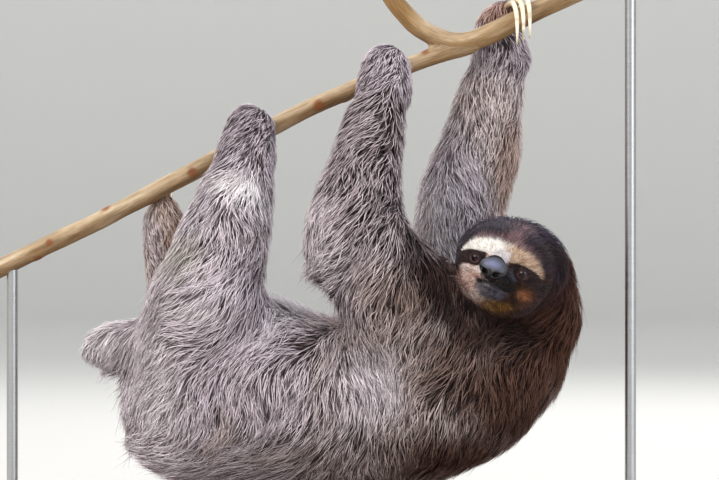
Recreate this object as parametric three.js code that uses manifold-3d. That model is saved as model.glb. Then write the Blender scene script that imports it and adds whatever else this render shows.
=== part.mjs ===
// A brown-throated three-toed sloth at life size, hanging back down by its four feet from a forked
// branch, which two rods carry above a flat base. Millimetres, +Z up; the animal's head is towards +X,
// its left side towards -Y, and the origin is at the middle of the base's underside.
//
// The animal's outline is its coat: smooth fields of rounded limbs, trunk, neck and head, meshed by
// marching cubes, thinned to few faces and parted at the joints by thin cuts.

import * as THREE from "three";
import { mergeVertices } from "three/addons/utils/BufferGeometryUtils.js";
import { edgeTable, triTable } from "three/addons/objects/MarchingCubes.js";
import { SimplifyModifier } from "three/addons/modifiers/SimplifyModifier.js";
import Module from "manifold-3d";

const wasm = await Module();
wasm.setup();

// ---- Driving dimensions ----

const GAP = 0.4; // between parts that meet
const REST_GAP = 1.6; // between parts of the coat that only touch

const BASE = { length: 600, width: 280, thick: 18, corner: 24, bevel: 2.5 };
const ROD = { reach: 272, radius: 5, inBase: 12, inBranch: 7 };
const COLLAR = { radius: 13, height: 12 };

const CELL = { body: 13, paw: 8, head: 6.5 }; // mesh size of each kind of part
const KEEP = { body: 0.24, paw: 0.22, head: 0.2 }; // share of the mesh's points that the thinning keeps
const BLEND = { body: 24, limb: 9, head: 12, face: 7 }; // how softly forms run together

const TRUNK_WIDTH = 1.12; // the trunk is this much wider than it is deep

// Joints and coat radii along each part, as [x, y, z, radius].
const SPINE = [
  [-110, 0, 154, 52],
  [-110, 0, 117, 59],
  [-58, 0, 132, 79],
  [8, 0, 119, 69],
  [68, 0, 124, 72],
  [126, 0, 146, 70],
  [166, 4, 164, 54],
];
const TAIL = [
  [-148, 0, 176, 25],
  [-180, 0, 175, 20],
  [-206, 0, 172, 11],
];
const NECK = [
  [168, 4, 166, 53],
  [192, 0, 199, 38],
  [183, -16, 236, 41],
];
const LEG_LEFT = [
  [-62, -18, 367, 20],
  [-64, -28, 342, 25],
  [-71, -40, 311, 32],
  [-79, -48, 285, 36],
  [-86, -56, 257, 41],
  [-99, -56, 214, 49],
  [-104, -40, 178, 54],
];
const LEG_RIGHT = [
  [-139, 19, 282, 18],
  [-138, 30, 262, 20],
  [-135, 42, 238, 22],
  [-128, 52, 208, 30],
  [-113, 42, 174, 46],
];
const ARM_LEFT = [
  [57, -17, 420, 20],
  [55, -31, 394, 24],
  [46, -43, 363, 28],
  [40, -54, 332, 31],
  [33, -66, 302, 37],
  [28, -76, 270, 43],
  [69, -68, 218, 50],
  [106, -36, 178, 57],
];
const ARM_RIGHT = [
  [157, 17, 458, 18],
  [160, 31, 427, 26],
  [150, 38, 392, 30],
  [141, 46, 348, 37],
  [127, 54, 308, 40],
  [121, 62, 273, 38],
  [134, 66, 236, 42],
  [138, 50, 188, 50],
];

// The branch's two stems, as [x, y, z, radius]: the long one that is gripped and the one it forks from.
const BRANCH = [
  [-290, 7, 239, 8.4],
  [-230, 2, 268, 8.1],
  [-186, 0, 289, 7.8],
  [-106, 0, 331, 8.2],
  [-27, 0, 375, 7.8],
  [58, 0, 413, 7.6],
  [100, 0, 429, 8.2],
  [134, 1, 439, 8.6],
];
const STEM = [
  [54, 22, 497, 8.4],
  [70, 14, 472, 8.8],
  [92, 4, 451, 9.2],
  [122, 0, 441, 9.6],
  [149, 0, 449, 9.4],
  [193, 0, 471, 9],
  [240, -3, 491, 8.6],
  [290, -6, 511, 8.4],
];

// The head's own frame: x to its left side, y up, z forward along the nose.
const HEAD_AT = new THREE.Vector3(162, -60, 245.5);
const HEAD_YAW = THREE.MathUtils.degToRad(17.5);
const HEAD_ROLL = THREE.MathUtils.degToRad(19);
const FORMS = {
  cranium: { at: [0, 0, -4], radii: [41.5, 43, 40] },
  mask: { at: [0, -5, 14], radii: [39.5, 42, 21] },
  cheek: { at: [25, -17, 20], radii: [15, 15, 14] },
  brow: { at: [14, 14, 26], radii: [15, 8, 9] },
  muzzle: [[0, -7, 18, 22], [0, -7, 39, 14.5]],
  jaw: [[0, -20, 16, 19], [0, -18, 38, 11]],
};
const EYE = { side: 21.4, up: 1, forward: 26, radius: 6.4 };
const SOCKET = { before: 11, radii: [9, 7, 7], soft: 5 };
const NOSE = { up: -1, forward: 47.5, wide: 13.2, tall: 12.5, deep: 9 };

// How each foot grips: where along the branch, which side its claws come down on (1 back, -1 front),
// the angle round the branch at the claws' root and tip, from the horizontal on that side, and how
// far the root and tip stand from the branch's axis. lean is how far back along the branch the claws begin.
const GRIPS = {
  foot_left: { line: BRANCH, x: -62, side: 1, root: 112, tip: -50, rootOut: 16, tipOut: 22, lean: 5 },
  foot_right: { line: BRANCH, x: -139, side: -1, root: 232, tip: 100, rootOut: 15.5, tipOut: 11, lean: 0 },
  hand_left: { line: BRANCH, x: 57, side: 1, root: 112, tip: -52, rootOut: 16, tipOut: 24, lean: 5 },
  hand_right: { line: STEM, x: 177.5, side: -1, root: 115, tip: -60, rootOut: 16, tipOut: 25, lean: 13 },
};
const PAD_RADIUS = 11; // of the pad that the claws grow from
const CLAW = { count: 3, spacing: 6.2, rootRadius: 2.4, tipRadius: 0.7, sides: 5, steps: 7 };

// ---- The field of the coat ----

const smoothMin = (a, b, k) => {
  const h = Math.max(k - Math.abs(a - b), 0) / k;
  return Math.min(a, b) - (h * h * k) / 4;
};

// Distance to a cone with round ends, from a to b, each [x, y, z, radius].
function roundCone(p, a, b) {
  const ab = [b[0] - a[0], b[1] - a[1], b[2] - a[2]];
  const ap = [p[0] - a[0], p[1] - a[1], p[2] - a[2]];
  const length2 = ab[0] ** 2 + ab[1] ** 2 + ab[2] ** 2;
  const t = THREE.MathUtils.clamp(
    (ap[0] * ab[0] + ap[1] * ab[1] + ap[2] * ab[2]) / length2, 0, 1);
  const away = Math.hypot(ap[0] - ab[0] * t, ap[1] - ab[1] * t, ap[2] - ab[2] * t);
  return away - THREE.MathUtils.lerp(a[3], b[3], t);
}

function chain(p, joints, blend) {
  let d = Infinity;
  for (let i = 1; i < joints.length; i++) {
    d = smoothMin(d, roundCone(p, joints[i - 1], joints[i]), blend);
  }
  return d;
}

// Distance to an ellipsoid, good near its surface.
function ellipsoid(p, centre, radii) {
  const q = p.map((v, i) => (v - centre[i]) / radii[i]);
  const k0 = Math.hypot(...q);
  const k1 = Math.hypot(...q.map((v, i) => v / radii[i]));
  return k1 === 0 ? -Math.min(...radii) : (k0 * (k0 - 1)) / k1;
}

function trunkField(p) {
  return chain([p[0], p[1] / TRUNK_WIDTH, p[2]], SPINE, BLEND.body);
}

function bodyField(p) {
  let d = smoothMin(trunkField(p), chain(p, TAIL, BLEND.limb), BLEND.limb * 2);
  for (const limb of [LEG_LEFT, LEG_RIGHT, ARM_LEFT, ARM_RIGHT]) {
    d = smoothMin(d, chain(p, limb, BLEND.limb), BLEND.body);
  }
  return d;
}

const headBasis = new THREE.Matrix4()
  .makeRotationZ(-HEAD_YAW)
  .multiply(new THREE.Matrix4().makeRotationY(HEAD_ROLL))
  .multiply(new THREE.Matrix4().makeRotationX(Math.PI / 2))
  .setPosition(HEAD_AT);
const intoHead = headBasis.clone().invert();

function faceField(q) {
  const mirror = [Math.abs(q[0]), q[1], q[2]];
  const form = (point, { at, radii }) => ellipsoid(point, at, radii);
  let d = smoothMin(form(q, FORMS.cranium), form(q, FORMS.mask), BLEND.head);
  d = smoothMin(d, roundCone(q, ...FORMS.muzzle), BLEND.face);
  d = smoothMin(d, roundCone(q, ...FORMS.jaw), BLEND.face);
  d = smoothMin(d, form(mirror, FORMS.cheek), BLEND.face);
  d = smoothMin(d, form(mirror, FORMS.brow), BLEND.face);
  const socket = ellipsoid(mirror, [EYE.side, EYE.up, EYE.forward + SOCKET.before], SOCKET.radii);
  return -smoothMin(-d, socket, SOCKET.soft);
}

function headField(p) {
  const q = new THREE.Vector3(...p).applyMatrix4(intoHead).toArray();
  return smoothMin(faceField(q), chain(p, NECK, BLEND.limb), BLEND.head);
}

// ---- Meshing a field inside a box, by marching cubes ----

const CORNERS = [
  [0, 0, 0], [1, 0, 0], [1, 1, 0], [0, 1, 0],
  [0, 0, 1], [1, 0, 1], [1, 1, 1], [0, 1, 1],
];
const EDGES = [
  [0, 1], [1, 2], [2, 3], [3, 0],
  [4, 5], [5, 6], [6, 7], [7, 4],
  [0, 4], [1, 5], [2, 6], [3, 7],
];
const NEAREST = 0.1; // how near an edge's end a vertex may come, so that no face is a sliver

function meshField(field, low, high, cell) {
  const n = low.map((v, i) => Math.ceil((high[i] - v) / cell) + 1);
  const at = (i, j, k) => [low[0] + i * cell, low[1] + j * cell, low[2] + k * cell];
  const number = (i, j, k) => (k * n[1] + j) * n[0] + i;
  const values = new Float64Array(n[0] * n[1] * n[2]);
  for (let k = 0; k < n[2]; k++) {
    for (let j = 0; j < n[1]; j++) {
      for (let i = 0; i < n[0]; i++) {
        const onSide = [i, j, k].some((v, axis) => v === 0 || v === n[axis] - 1);
        const d = field(at(i, j, k)) || 1e-6;
        values[number(i, j, k)] = onSide ? Math.max(d, cell / 2) : d;
      }
    }
  }
  const points = [];
  const faces = [];
  const known = new Map();
  const pointOn = (a, b) => {
    const [na, nb] = [number(...a), number(...b)];
    const key = Math.min(na, nb) * values.length + Math.max(na, nb);
    if (!known.has(key)) {
      const share = values[na] / (values[na] - values[nb]);
      const t = THREE.MathUtils.clamp(share, NEAREST, 1 - NEAREST);
      const [pa, pb] = [at(...a), at(...b)];
      known.set(key, points.length / 3);
      points.push(...pa.map((v, axis) => THREE.MathUtils.lerp(v, pb[axis], t)));
    }
    return known.get(key);
  };
  for (let k = 0; k < n[2] - 1; k++) {
    for (let j = 0; j < n[1] - 1; j++) {
      for (let i = 0; i < n[0] - 1; i++) {
        const corners = CORNERS.map(([a, b, c]) => [i + a, j + b, k + c]);
        let index = 0;
        corners.forEach((c, bit) => {
          if (values[number(...c)] < 0) index |= 1 << bit;
        });
        if (edgeTable[index] === 0) continue;
        for (let t = index * 16; triTable[t] !== -1; t += 3) {
          const triangle = [0, 1, 2].map((v) => {
            const [a, b] = EDGES[triTable[t + v]];
            return pointOn(corners[a], corners[b]);
          });
          faces.push(triangle[0], triangle[2], triangle[1]);
        }
      }
    }
  }
  return solidFrom(points, faces);
}

// The same mesh with fewer points, taken where it is flattest.
async function thinned(solid, keep) {
  const full = geometryOf(solid);
  full.deleteAttribute("normal");
  const count = full.attributes.position.count;
  return solidOf(await new SimplifyModifier().modify(full, Math.floor(count * (1 - keep))));
}

// ---- Solids and meshes ----

function solidFrom(points, faces) {
  const made = new wasm.Manifold(new wasm.Mesh({
    numProp: 3,
    vertProperties: new Float32Array(points),
    triVerts: new Uint32Array(faces),
  }));
  if (made.volume() > 0) return made;
  const turned = faces.map((_, i) => faces[i - (i % 3) + [0, 2, 1][i % 3]]);
  return new wasm.Manifold(new wasm.Mesh({
    numProp: 3,
    vertProperties: new Float32Array(points),
    triVerts: new Uint32Array(turned),
  }));
}

// A closed three.js geometry, placed by a matrix, as a solid.
function solidOf(geometry, matrix = new THREE.Matrix4()) {
  const bare = geometry.clone().applyMatrix4(matrix);
  bare.deleteAttribute("normal");
  bare.deleteAttribute("uv");
  const merged = mergeVertices(bare, 1e-3);
  return solidFrom([...merged.attributes.position.array], [...merged.index.array]);
}

function geometryOf(solid) {
  const mesh = solid.getMesh();
  const geometry = new THREE.BufferGeometry();
  geometry.setAttribute("position", new THREE.BufferAttribute(new Float32Array(mesh.vertProperties), 3));
  geometry.setIndex(new THREE.BufferAttribute(new Uint32Array(mesh.triVerts), 1));
  geometry.computeVertexNormals();
  return geometry;
}

const moved = (x, y, z) => new THREE.Matrix4().makeTranslation(x, y, z);

// The part of a cut solid that holds a point.
function pieceAt(solid, point) {
  const probe = solidOf(new THREE.BoxGeometry(2, 2, 2), moved(...point));
  const found = solid.decompose().filter((part) => part.intersect(probe).volume() > 0);
  if (found.length !== 1) throw new Error(found.length + " pieces at " + point);
  return found[0];
}

// A round cut across a limb, centred on a point and square to a direction.
function cut(point, direction, radius, thick = GAP) {
  const turn = new THREE.Quaternion().setFromUnitVectors(
    new THREE.Vector3(0, 1, 0), new THREE.Vector3(...direction).normalize());
  const matrix = new THREE.Matrix4().compose(
    new THREE.Vector3(...point), turn, new THREE.Vector3(1, 1, 1));
  return solidOf(new THREE.CylinderGeometry(radius, radius, thick, 20), matrix);
}

// A round bar of changing thickness along points [x, y, z, radius].
function bar(points, sides, steps, grow = 0) {
  const curve = new THREE.CatmullRomCurve3(points.map((p) => new THREE.Vector3(...p)));
  const frames = curve.computeFrenetFrames(steps, false);
  const spans = points.length - 1;
  const vertices = [];
  const faces = [];
  for (let i = 0; i <= steps; i++) {
    const t = i / steps;
    const u = curve.getUtoTmapping(t) * spans;
    const span = Math.min(Math.floor(u), spans - 1);
    const radius = grow + THREE.MathUtils.lerp(points[span][3], points[span + 1][3], u - span);
    const centre = curve.getPointAt(t);
    for (let s = 0; s < sides; s++) {
      const angle = (s / sides) * 2 * Math.PI;
      const out = frames.normals[i].clone().multiplyScalar(Math.cos(angle) * radius)
        .addScaledVector(frames.binormals[i], Math.sin(angle) * radius);
      vertices.push(...out.add(centre).toArray());
      const [a, b] = [i * sides + s, i * sides + ((s + 1) % sides)];
      if (i < steps) faces.push(a, b, a + sides, b, b + sides, a + sides);
    }
  }
  for (const ring of [0, steps]) {
    const centre = vertices.length / 3;
    vertices.push(...curve.getPointAt(ring / steps).toArray());
    for (let s = 0; s < sides; s++) {
      const [a, b] = [ring * sides + s, ring * sides + ((s + 1) % sides)];
      faces.push(...(ring === 0 ? [centre, b, a] : [centre, a, b]));
    }
  }
  return solidFrom(vertices, faces);
}

// ---- Colours ----

const finish = (color, roughness, metalness = 0) =>
  new THREE.MeshStandardMaterial({ color, roughness, metalness });
const COAT = finish(0x8a7a6c, 0.95);
const HOOD = finish(0x43322d, 0.95);
const FACE = finish(0xb89a80, 0.9);
const NOSE_SKIN = finish(0x2b2a30, 0.45);
const EYEBALL = finish(0x2a1510, 0.1);
const HORN = finish(0xe6d8bd, 0.45);
const BARK = finish(0xc2a36f, 0.8);
const TIMBER = finish(0x5a3d28, 0.5);
const STEEL = finish(0xb4b6b8, 0.35, 1);

const sloth = new THREE.Group();
function add(name, solid, material) {
  const mesh = new THREE.Mesh(geometryOf(solid), material);
  mesh.name = name;
  sloth.add(mesh);
}

// ---- Branch and stand ----

function pointAlong(line, x) {
  const i = line.findIndex((p, n) => n > 0 && p[0] >= x && line[n - 1][0] <= x);
  const t = (x - line[i - 1][0]) / (line[i][0] - line[i - 1][0]);
  const lerp = (k) => THREE.MathUtils.lerp(line[i - 1][k], line[i][k], t);
  const [from, to] = [line[i - 1], line[i]].map((p) => new THREE.Vector3(p[0], p[1], p[2]));
  const along = to.sub(from).normalize();
  return { at: new THREE.Vector3(lerp(0), lerp(1), lerp(2)), along, radius: lerp(3) };
}

function branchSolid(grow = 0) {
  return bar(BRANCH, 8, 14, grow).add(bar(STEM, 8, 13, grow));
}

function rodSolid(side, grow = 0) {
  const line = side < 0 ? BRANCH : STEM;
  const perch = pointAlong(line, side * ROD.reach);
  const bottom = BASE.thick - ROD.inBase;
  const top = perch.at.z - perch.radius + ROD.inBranch;
  return solidOf(
    new THREE.CylinderGeometry(ROD.radius + grow, ROD.radius + grow, top - bottom + 2 * grow, 16)
      .rotateX(Math.PI / 2),
    moved(perch.at.x, perch.at.y, (top + bottom) / 2));
}

// The ring that holds a rod on the base.
function collarSolid(side) {
  const inner = ROD.radius + GAP;
  const soft = 1.5;
  const profile = [
    [inner, 0], [COLLAR.radius, 0], [COLLAR.radius, COLLAR.height - soft],
    [COLLAR.radius - soft, COLLAR.height], [inner, COLLAR.height], [inner, 0],
  ].map(([r, z]) => new THREE.Vector2(r, z));
  const perch = pointAlong(side < 0 ? BRANCH : STEM, side * ROD.reach);
  return solidOf(
    new THREE.LatheGeometry(profile, 16).rotateX(Math.PI / 2),
    moved(perch.at.x, perch.at.y, BASE.thick + GAP));
}

function baseSolid() {
  const { length, width, thick, corner, bevel } = BASE;
  const [x, y] = [length / 2 - bevel, width / 2 - bevel];
  const r = corner - bevel;
  const outline = new THREE.Shape()
    .moveTo(-x + r, -y)
    .lineTo(x - r, -y).absarc(x - r, -y + r, r, -Math.PI / 2, 0)
    .lineTo(x, y - r).absarc(x - r, y - r, r, 0, Math.PI / 2)
    .lineTo(-x + r, y).absarc(-x + r, y - r, r, Math.PI / 2, Math.PI)
    .lineTo(-x, -y + r).absarc(-x + r, -y + r, r, Math.PI, 1.5 * Math.PI);
  const geometry = new THREE.ExtrudeGeometry(outline, {
    depth: thick - 2 * bevel, bevelSize: bevel, bevelThickness: bevel, bevelSegments: 1, curveSegments: 4,
  });
  return solidOf(geometry, moved(0, 0, bevel));
}

function addStand() {
  const rods = [-1, 1].map((side) => rodSolid(side, GAP));
  add("branch", rods.reduce((wood, rod) => wood.subtract(rod), branchSolid()), BARK);
  add("stand_base", rods.reduce((plate, rod) => plate.subtract(rod), baseSolid()), TIMBER);
  for (const [side, word] of [[-1, "left"], [1, "right"]]) {
    add("stand_rod_" + word, rodSolid(side), STEEL);
    add("stand_collar_" + word, collarSolid(side), STEEL);
  }
}

// ---- Claws ----

// Points of one claw, hooked round the branch. offset is its place along the branch.
function clawPoints(grip, offset) {
  const { at, along } = pointAlong(grip.line, grip.x);
  const out = new THREE.Vector3(0, grip.side, 0);
  const up = new THREE.Vector3(0, 0, 1);
  const shares = [0, 0.2, 0.4, 0.6, 0.8, 1];
  return shares.map((t) => {
    const angle = THREE.MathUtils.degToRad(THREE.MathUtils.lerp(grip.root, grip.tip, t));
    const reach = THREE.MathUtils.lerp(grip.rootOut, grip.tipOut, t);
    const point = at.clone()
      .addScaledVector(along, offset - grip.lean * (1 - t) ** 3)
      .addScaledVector(out, Math.cos(angle) * reach)
      .addScaledVector(up, Math.sin(angle) * reach);
    return [...point.toArray(), THREE.MathUtils.lerp(CLAW.rootRadius, CLAW.tipRadius, t ** 2)];
  });
}

function clawSolids(grip, grow = 0) {
  const middle = (CLAW.count - 1) / 2;
  return Array.from({ length: CLAW.count }, (_, i) =>
    bar(clawPoints(grip, (i - middle) * CLAW.spacing), CLAW.sides, CLAW.steps, grow));
}

// ---- Parts of the body ----

const between = (a, b, t) => [0, 1, 2].map((k) => THREE.MathUtils.lerp(a[k], b[k], t));
const towards = (a, b) => [0, 1, 2].map((k) => b[k] - a[k]);

// A cut across a limb, a share t of the way from joint i to joint i + 1, wide enough to pass its coat.
function cutLimb(limb, i, t, wide = 1.5) {
  const radius = THREE.MathUtils.lerp(limb[i][3], limb[i + 1][3], t) * wide;
  return cut(between(limb[i], limb[i + 1], t), towards(limb[i], limb[i + 1]), radius);
}

// The plane where the neck begins, and the space that the trunk leaves for the neck beyond it.
const NECK_ROOT = [182, 4, 188];
const NECK_LINE = [0.72, 0, 0.69];
const SEAT = { radius: 66, depth: 60 };
const seatMiddle = NECK_ROOT.map((v, axis) => v + NECK_LINE[axis] * (SEAT.depth / 2 - GAP));
const NECK_SEAT = cut(seatMiddle, NECK_LINE, SEAT.radius, SEAT.depth);

const LIMB_CUTS = {
  wrist_left: cutLimb(ARM_LEFT, 1, 0.1),
  elbow_left: cutLimb(ARM_LEFT, 4, 0.7, 1.75),
  shoulder_left: cut([60, -76, 230], [-0.61, -0.12, 0.79], 74),
  wrist_right: cutLimb(ARM_RIGHT, 1, 0.1),
  elbow_right: cutLimb(ARM_RIGHT, 4, 0.6, 1.6),
  shoulder_right: cut([132, 64, 232], [-0.2, 0.25, 0.95], 66),
  ankle_left: cutLimb(LEG_LEFT, 1, 0.3),
  knee_left: cutLimb(LEG_LEFT, 4, 0),
  hip_left: cut([-95, -56, 228], [0.2, -0.3, 0.93], 64),
  ankle_right: cutLimb(LEG_RIGHT, 1, 0.4),
  knee_right: cutLimb(LEG_RIGHT, 2, 0.1),
  hip_right: cut([-133, 50, 226], [-0.15, 0.3, 0.94], 44),
  tail: cut([-177, 0, 176], [-1, 0, 0], 34),
  waist: cut([-4, 0, 130], [1, 0, 0], 130),
};
const HEAD_CUTS = {
  neck: cut(NECK_ROOT, NECK_LINE, 92),
  throat: cut([182, -18, 222], [-0.41, -0.63, 0.65], 76),
};

// A field meshed about some joints, thinned and cut.
async function cutField(field, joints, kind, cuts) {
  const margin = CELL[kind] * 1.6;
  const low = [0, 1, 2].map((axis) => Math.min(...joints.map((p) => p[axis] - p[3])) - margin);
  const high = [0, 1, 2].map((axis) => Math.max(...joints.map((p) => p[axis] + p[3])) + margin);
  let solid = await thinned(meshField(field, low, high, CELL[kind]), KEEP[kind]);
  for (const knife of Object.values(cuts)) solid = solid.subtract(knife);
  return solid;
}

// A point inside each part of the body.
const SEEDS = {
  chest: SPINE[4],
  belly: SPINE[2],
  tail: TAIL[1],
  thigh_left: between(LEG_LEFT[4], LEG_LEFT[5], 0.4),
  shank_left: LEG_LEFT[3],
  thigh_right: between(LEG_RIGHT[2], LEG_RIGHT[3], 0.2),
  shank_right: between(LEG_RIGHT[1], LEG_RIGHT[2], 0.8),
  upper_arm_left: between(ARM_LEFT[5], ARM_LEFT[6], 0.3),
  forearm_left: ARM_LEFT[3],
  upper_arm_right: between(ARM_RIGHT[5], ARM_RIGHT[6], 0.3),
  forearm_right: ARM_RIGHT[3],
};

async function bodyParts() {
  const joints = [SPINE, TAIL, LEG_LEFT, LEG_RIGHT, ARM_LEFT, ARM_RIGHT].flat();
  const body = (await cutField(bodyField, joints, "body", LIMB_CUTS)).subtract(NECK_SEAT);
  const parts = Object.entries(SEEDS).map(([name, seed]) => [name, pieceAt(body, seed.slice(0, 3))]);
  return Object.fromEntries(parts);
}

// A solid with its surface moved out along its own normals.
function grown(solid, by) {
  const geometry = geometryOf(solid);
  const { position, normal } = geometry.attributes;
  for (let i = 0; i < position.count; i++) {
    position.setXYZ(
      i,
      position.getX(i) + normal.getX(i) * by,
      position.getY(i) + normal.getY(i) * by,
      position.getZ(i) + normal.getZ(i) * by);
  }
  return solidOf(geometry);
}

// Each foot or hand: the end of its limb and a pad over the branch, cut round the branch and claws.
async function addPaws() {
  const wood = branchSolid(GAP);
  const paws = {
    foot_left: LEG_LEFT,
    foot_right: LEG_RIGHT,
    hand_left: ARM_LEFT,
    hand_right: ARM_RIGHT,
  };
  for (const [name, limb] of Object.entries(paws)) {
    const grip = GRIPS[name];
    const root = clawPoints(grip, 0)[0];
    const end = limb.slice(0, 3);
    const pad = [root[0], root[1], root[2], PAD_RADIUS];
    const field = (p) => smoothMin(chain(p, end, BLEND.limb), roundCone(p, limb[0], pad), BLEND.limb);
    const around = [...end, pad];
    let paw = (await cutField(field, around, "paw", LIMB_CUTS)).subtract(wood);
    for (const claw of clawSolids(grip, GAP)) paw = paw.subtract(claw);
    add(name, pieceAt(paw, limb[0].slice(0, 3)), COAT);
    clawSolids(grip).forEach((claw, i) => add("claw_" + name + "_" + (i + 1), claw.subtract(wood), HORN));
  }
}

// The head and neck. Where the head and the body's parts touch, the head keeps its shape.
async function addHead(body) {
  const centre = HEAD_AT.toArray();
  const whole = await cutField(headField, [...NECK, [...centre, 60]], "head", HEAD_CUTS);
  let head = pieceAt(whole, centre);
  let neck = whole;
  const headRoom = grown(head, REST_GAP);
  for (const name of ["chest", "upper_arm_left", "upper_arm_right"]) {
    neck = neck.subtract(grown(body[name], REST_GAP));
    body[name] = pieceAt(body[name].subtract(headRoom), SEEDS[name].slice(0, 3));
  }
  const eyeball = (side, grow = 0) => solidOf(
    new THREE.SphereGeometry(EYE.radius + grow, 10, 7),
    headBasis.clone().multiply(moved(side * EYE.side, EYE.up, EYE.forward)));
  const nosePad = (grow = 0) => solidOf(
    new THREE.SphereGeometry(1, 12, 8).scale(NOSE.wide + grow, NOSE.tall + grow, NOSE.deep + grow),
    headBasis.clone().multiply(moved(0, NOSE.up, NOSE.forward)));
  for (const [word, side] of [["left", 1], ["right", -1]]) {
    head = head.subtract(eyeball(side, GAP));
    add("eye_" + word, eyeball(side), EYEBALL);
  }
  add("head", head.subtract(nosePad(GAP)), FACE);
  add("nose", nosePad(), NOSE_SKIN);
  add("neck", pieceAt(neck, between(NECK[1], NECK[2], 0.2)), HOOD);
}

addStand();
const body = await bodyParts();
await addHead(body);
for (const [name, solid] of Object.entries(body)) add(name, solid, COAT);
await addPaws();

export default sloth;
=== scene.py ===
"""The looks of a life-size three-toed sloth that hangs back down from a forked branch over a display stand.

Its skin, short face hair, long coat, eyes, nose, claws, branch and stand are each made by one operator.
Sizes are in millimetres here and become metres when a mesh is made.
"""

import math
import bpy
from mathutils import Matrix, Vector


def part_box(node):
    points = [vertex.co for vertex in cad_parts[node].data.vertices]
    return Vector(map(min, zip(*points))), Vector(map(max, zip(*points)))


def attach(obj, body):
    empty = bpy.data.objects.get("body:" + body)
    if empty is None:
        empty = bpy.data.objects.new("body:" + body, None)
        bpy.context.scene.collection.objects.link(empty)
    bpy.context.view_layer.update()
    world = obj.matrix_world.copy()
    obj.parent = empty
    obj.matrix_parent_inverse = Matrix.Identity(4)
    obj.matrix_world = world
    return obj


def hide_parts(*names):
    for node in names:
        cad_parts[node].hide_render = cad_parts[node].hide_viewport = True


bl_info = {
    "name": "Three-toed sloth on a forked branch",
    "version": (1, 0, 0),
    "blender": (4, 5, 0),
    "location": "View3D > Sidebar > Sloth",
    "description": "Makes the skin, coat, eyes, nose, claws, branch, stand and studio of a hanging sloth",
    "category": "Object",
}

import bmesh
import bpy
import numpy as np
from mathutils import Matrix, Vector, noise
from mathutils.bvhtree import BVHTree
from mathutils.kdtree import KDTree

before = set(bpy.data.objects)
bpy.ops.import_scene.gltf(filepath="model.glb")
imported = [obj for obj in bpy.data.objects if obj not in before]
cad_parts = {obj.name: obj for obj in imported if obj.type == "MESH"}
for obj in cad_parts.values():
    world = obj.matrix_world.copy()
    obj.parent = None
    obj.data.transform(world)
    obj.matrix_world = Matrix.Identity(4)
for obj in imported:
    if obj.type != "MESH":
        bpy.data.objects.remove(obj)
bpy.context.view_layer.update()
MM = 0.001
SEED = 41

# ---- Places that come from the solids ----

SIDES = ("left", "right")
PAWS = ("hand_left", "hand_right", "foot_left", "foot_right")
FLESH = ["chest", "belly", "tail", "neck", "head"] + [
    f"{part}_{side}"
    for part in ("upper_arm", "forearm", "hand", "thigh", "shank", "foot")
    for side in SIDES
]


def middle(node):
    """The middle of a solid's box, in millimetres."""
    low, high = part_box(node)
    return np.array((low + high) / 2.0) / MM


def unit(vector):
    """A vector, or each row of them, made one long."""
    vector = np.asarray(vector, float)
    return vector / np.linalg.norm(vector, axis=-1, keepdims=True)


# The head's own frame, in millimetres: x to its left, y up, z forward along the nose.
EYE_ABOVE = 1.0
EYE_AHEAD = 26.0
EYE_ASIDE = 21.4
NOSE_AHEAD_OF_EYES = 21.5
NOSE_BELOW_EYES = 2.0
EYES_SUNK = 1.2


def head_frame():
    """The head's axes as columns, and its middle."""
    left, right = middle("eye_left"), middle("eye_right")
    across = unit(left - right)
    between = (left + right) / 2.0
    ahead = middle("nose") - between
    ahead = unit(ahead - across * (ahead @ across))
    above = np.cross(ahead, across)
    tilt = math.atan2(NOSE_BELOW_EYES, NOSE_AHEAD_OF_EYES)
    forward = ahead * math.cos(tilt) + above * math.sin(tilt)
    up = above * math.cos(tilt) - ahead * math.sin(tilt)
    at = between - up * EYE_ABOVE - forward * EYE_AHEAD - np.array([0.0, 0.0, EYES_SUNK])
    return np.stack([across, up, forward], 1), at


HEAD_AXES, HEAD_AT = head_frame()


def into_head(points):
    """Points of the scene in the head's own frame."""
    return (points - HEAD_AT) @ HEAD_AXES


def out_of_head(points):
    """Points of the head's own frame in the scene."""
    return points @ HEAD_AXES.T + HEAD_AT


# The branch's two stems, as x, y, z and radius.
BRANCH = np.array([
    (-290, 7, 239, 8.4), (-230, 2, 268, 8.1), (-186, 0, 289, 7.8), (-106, 0, 331, 8.2),
    (-27, 0, 375, 7.8), (58, 0, 413, 7.6), (100, 0, 429, 8.2), (134, 1, 439, 8.6),
])
STEM = np.array([
    (54, 22, 497, 8.4), (70, 14, 472, 8.8), (92, 4, 451, 9.2), (122, 0, 441, 9.6),
    (149, 0, 449, 9.4), (193, 0, 471, 9), (240, -3, 491, 8.6), (290, -6, 511, 8.4),
])

# How each foot grips: its stem, its place along it, the side its claws come down on, the angles of the
# claws' root and tip round the stem, how far those stand from its middle, and how far back the root leans.
GRIPS = {
    "foot_left": (BRANCH, -62, 1, 112, -50, 16, 22, 5),
    "foot_right": (BRANCH, -139, -1, 232, 112, 15.5, 10.5, 0),
    "hand_left": (BRANCH, 57, 1, 112, -52, 16, 24, 5),
    "hand_right": (STEM, 177.5, -1, 115, -60, 16, 25, 13),
}


# ---- Small helpers ----


def ease(low, high, value):
    """0 below low, 1 above high, and a smooth change between."""
    share = np.clip((value - low) / (high - low), 0.0, 1.0)
    return share * share * (3.0 - 2.0 * share)


def mix(a, b, share):
    """a where share is 0, b where it is 1, and a blend between."""
    share = np.asarray(share, float)
    if share.ndim and max(np.ndim(a), np.ndim(b)) > share.ndim:
        share = share[..., None]
    return a * (1.0 - share) + b * share


def blend_min(a, b, reach):
    """The lesser of two distances, rounded off where they are within reach of each other."""
    share = np.maximum(reach - np.abs(a - b), 0.0) / reach
    return np.minimum(a, b) - share * share * reach / 4.0


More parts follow.
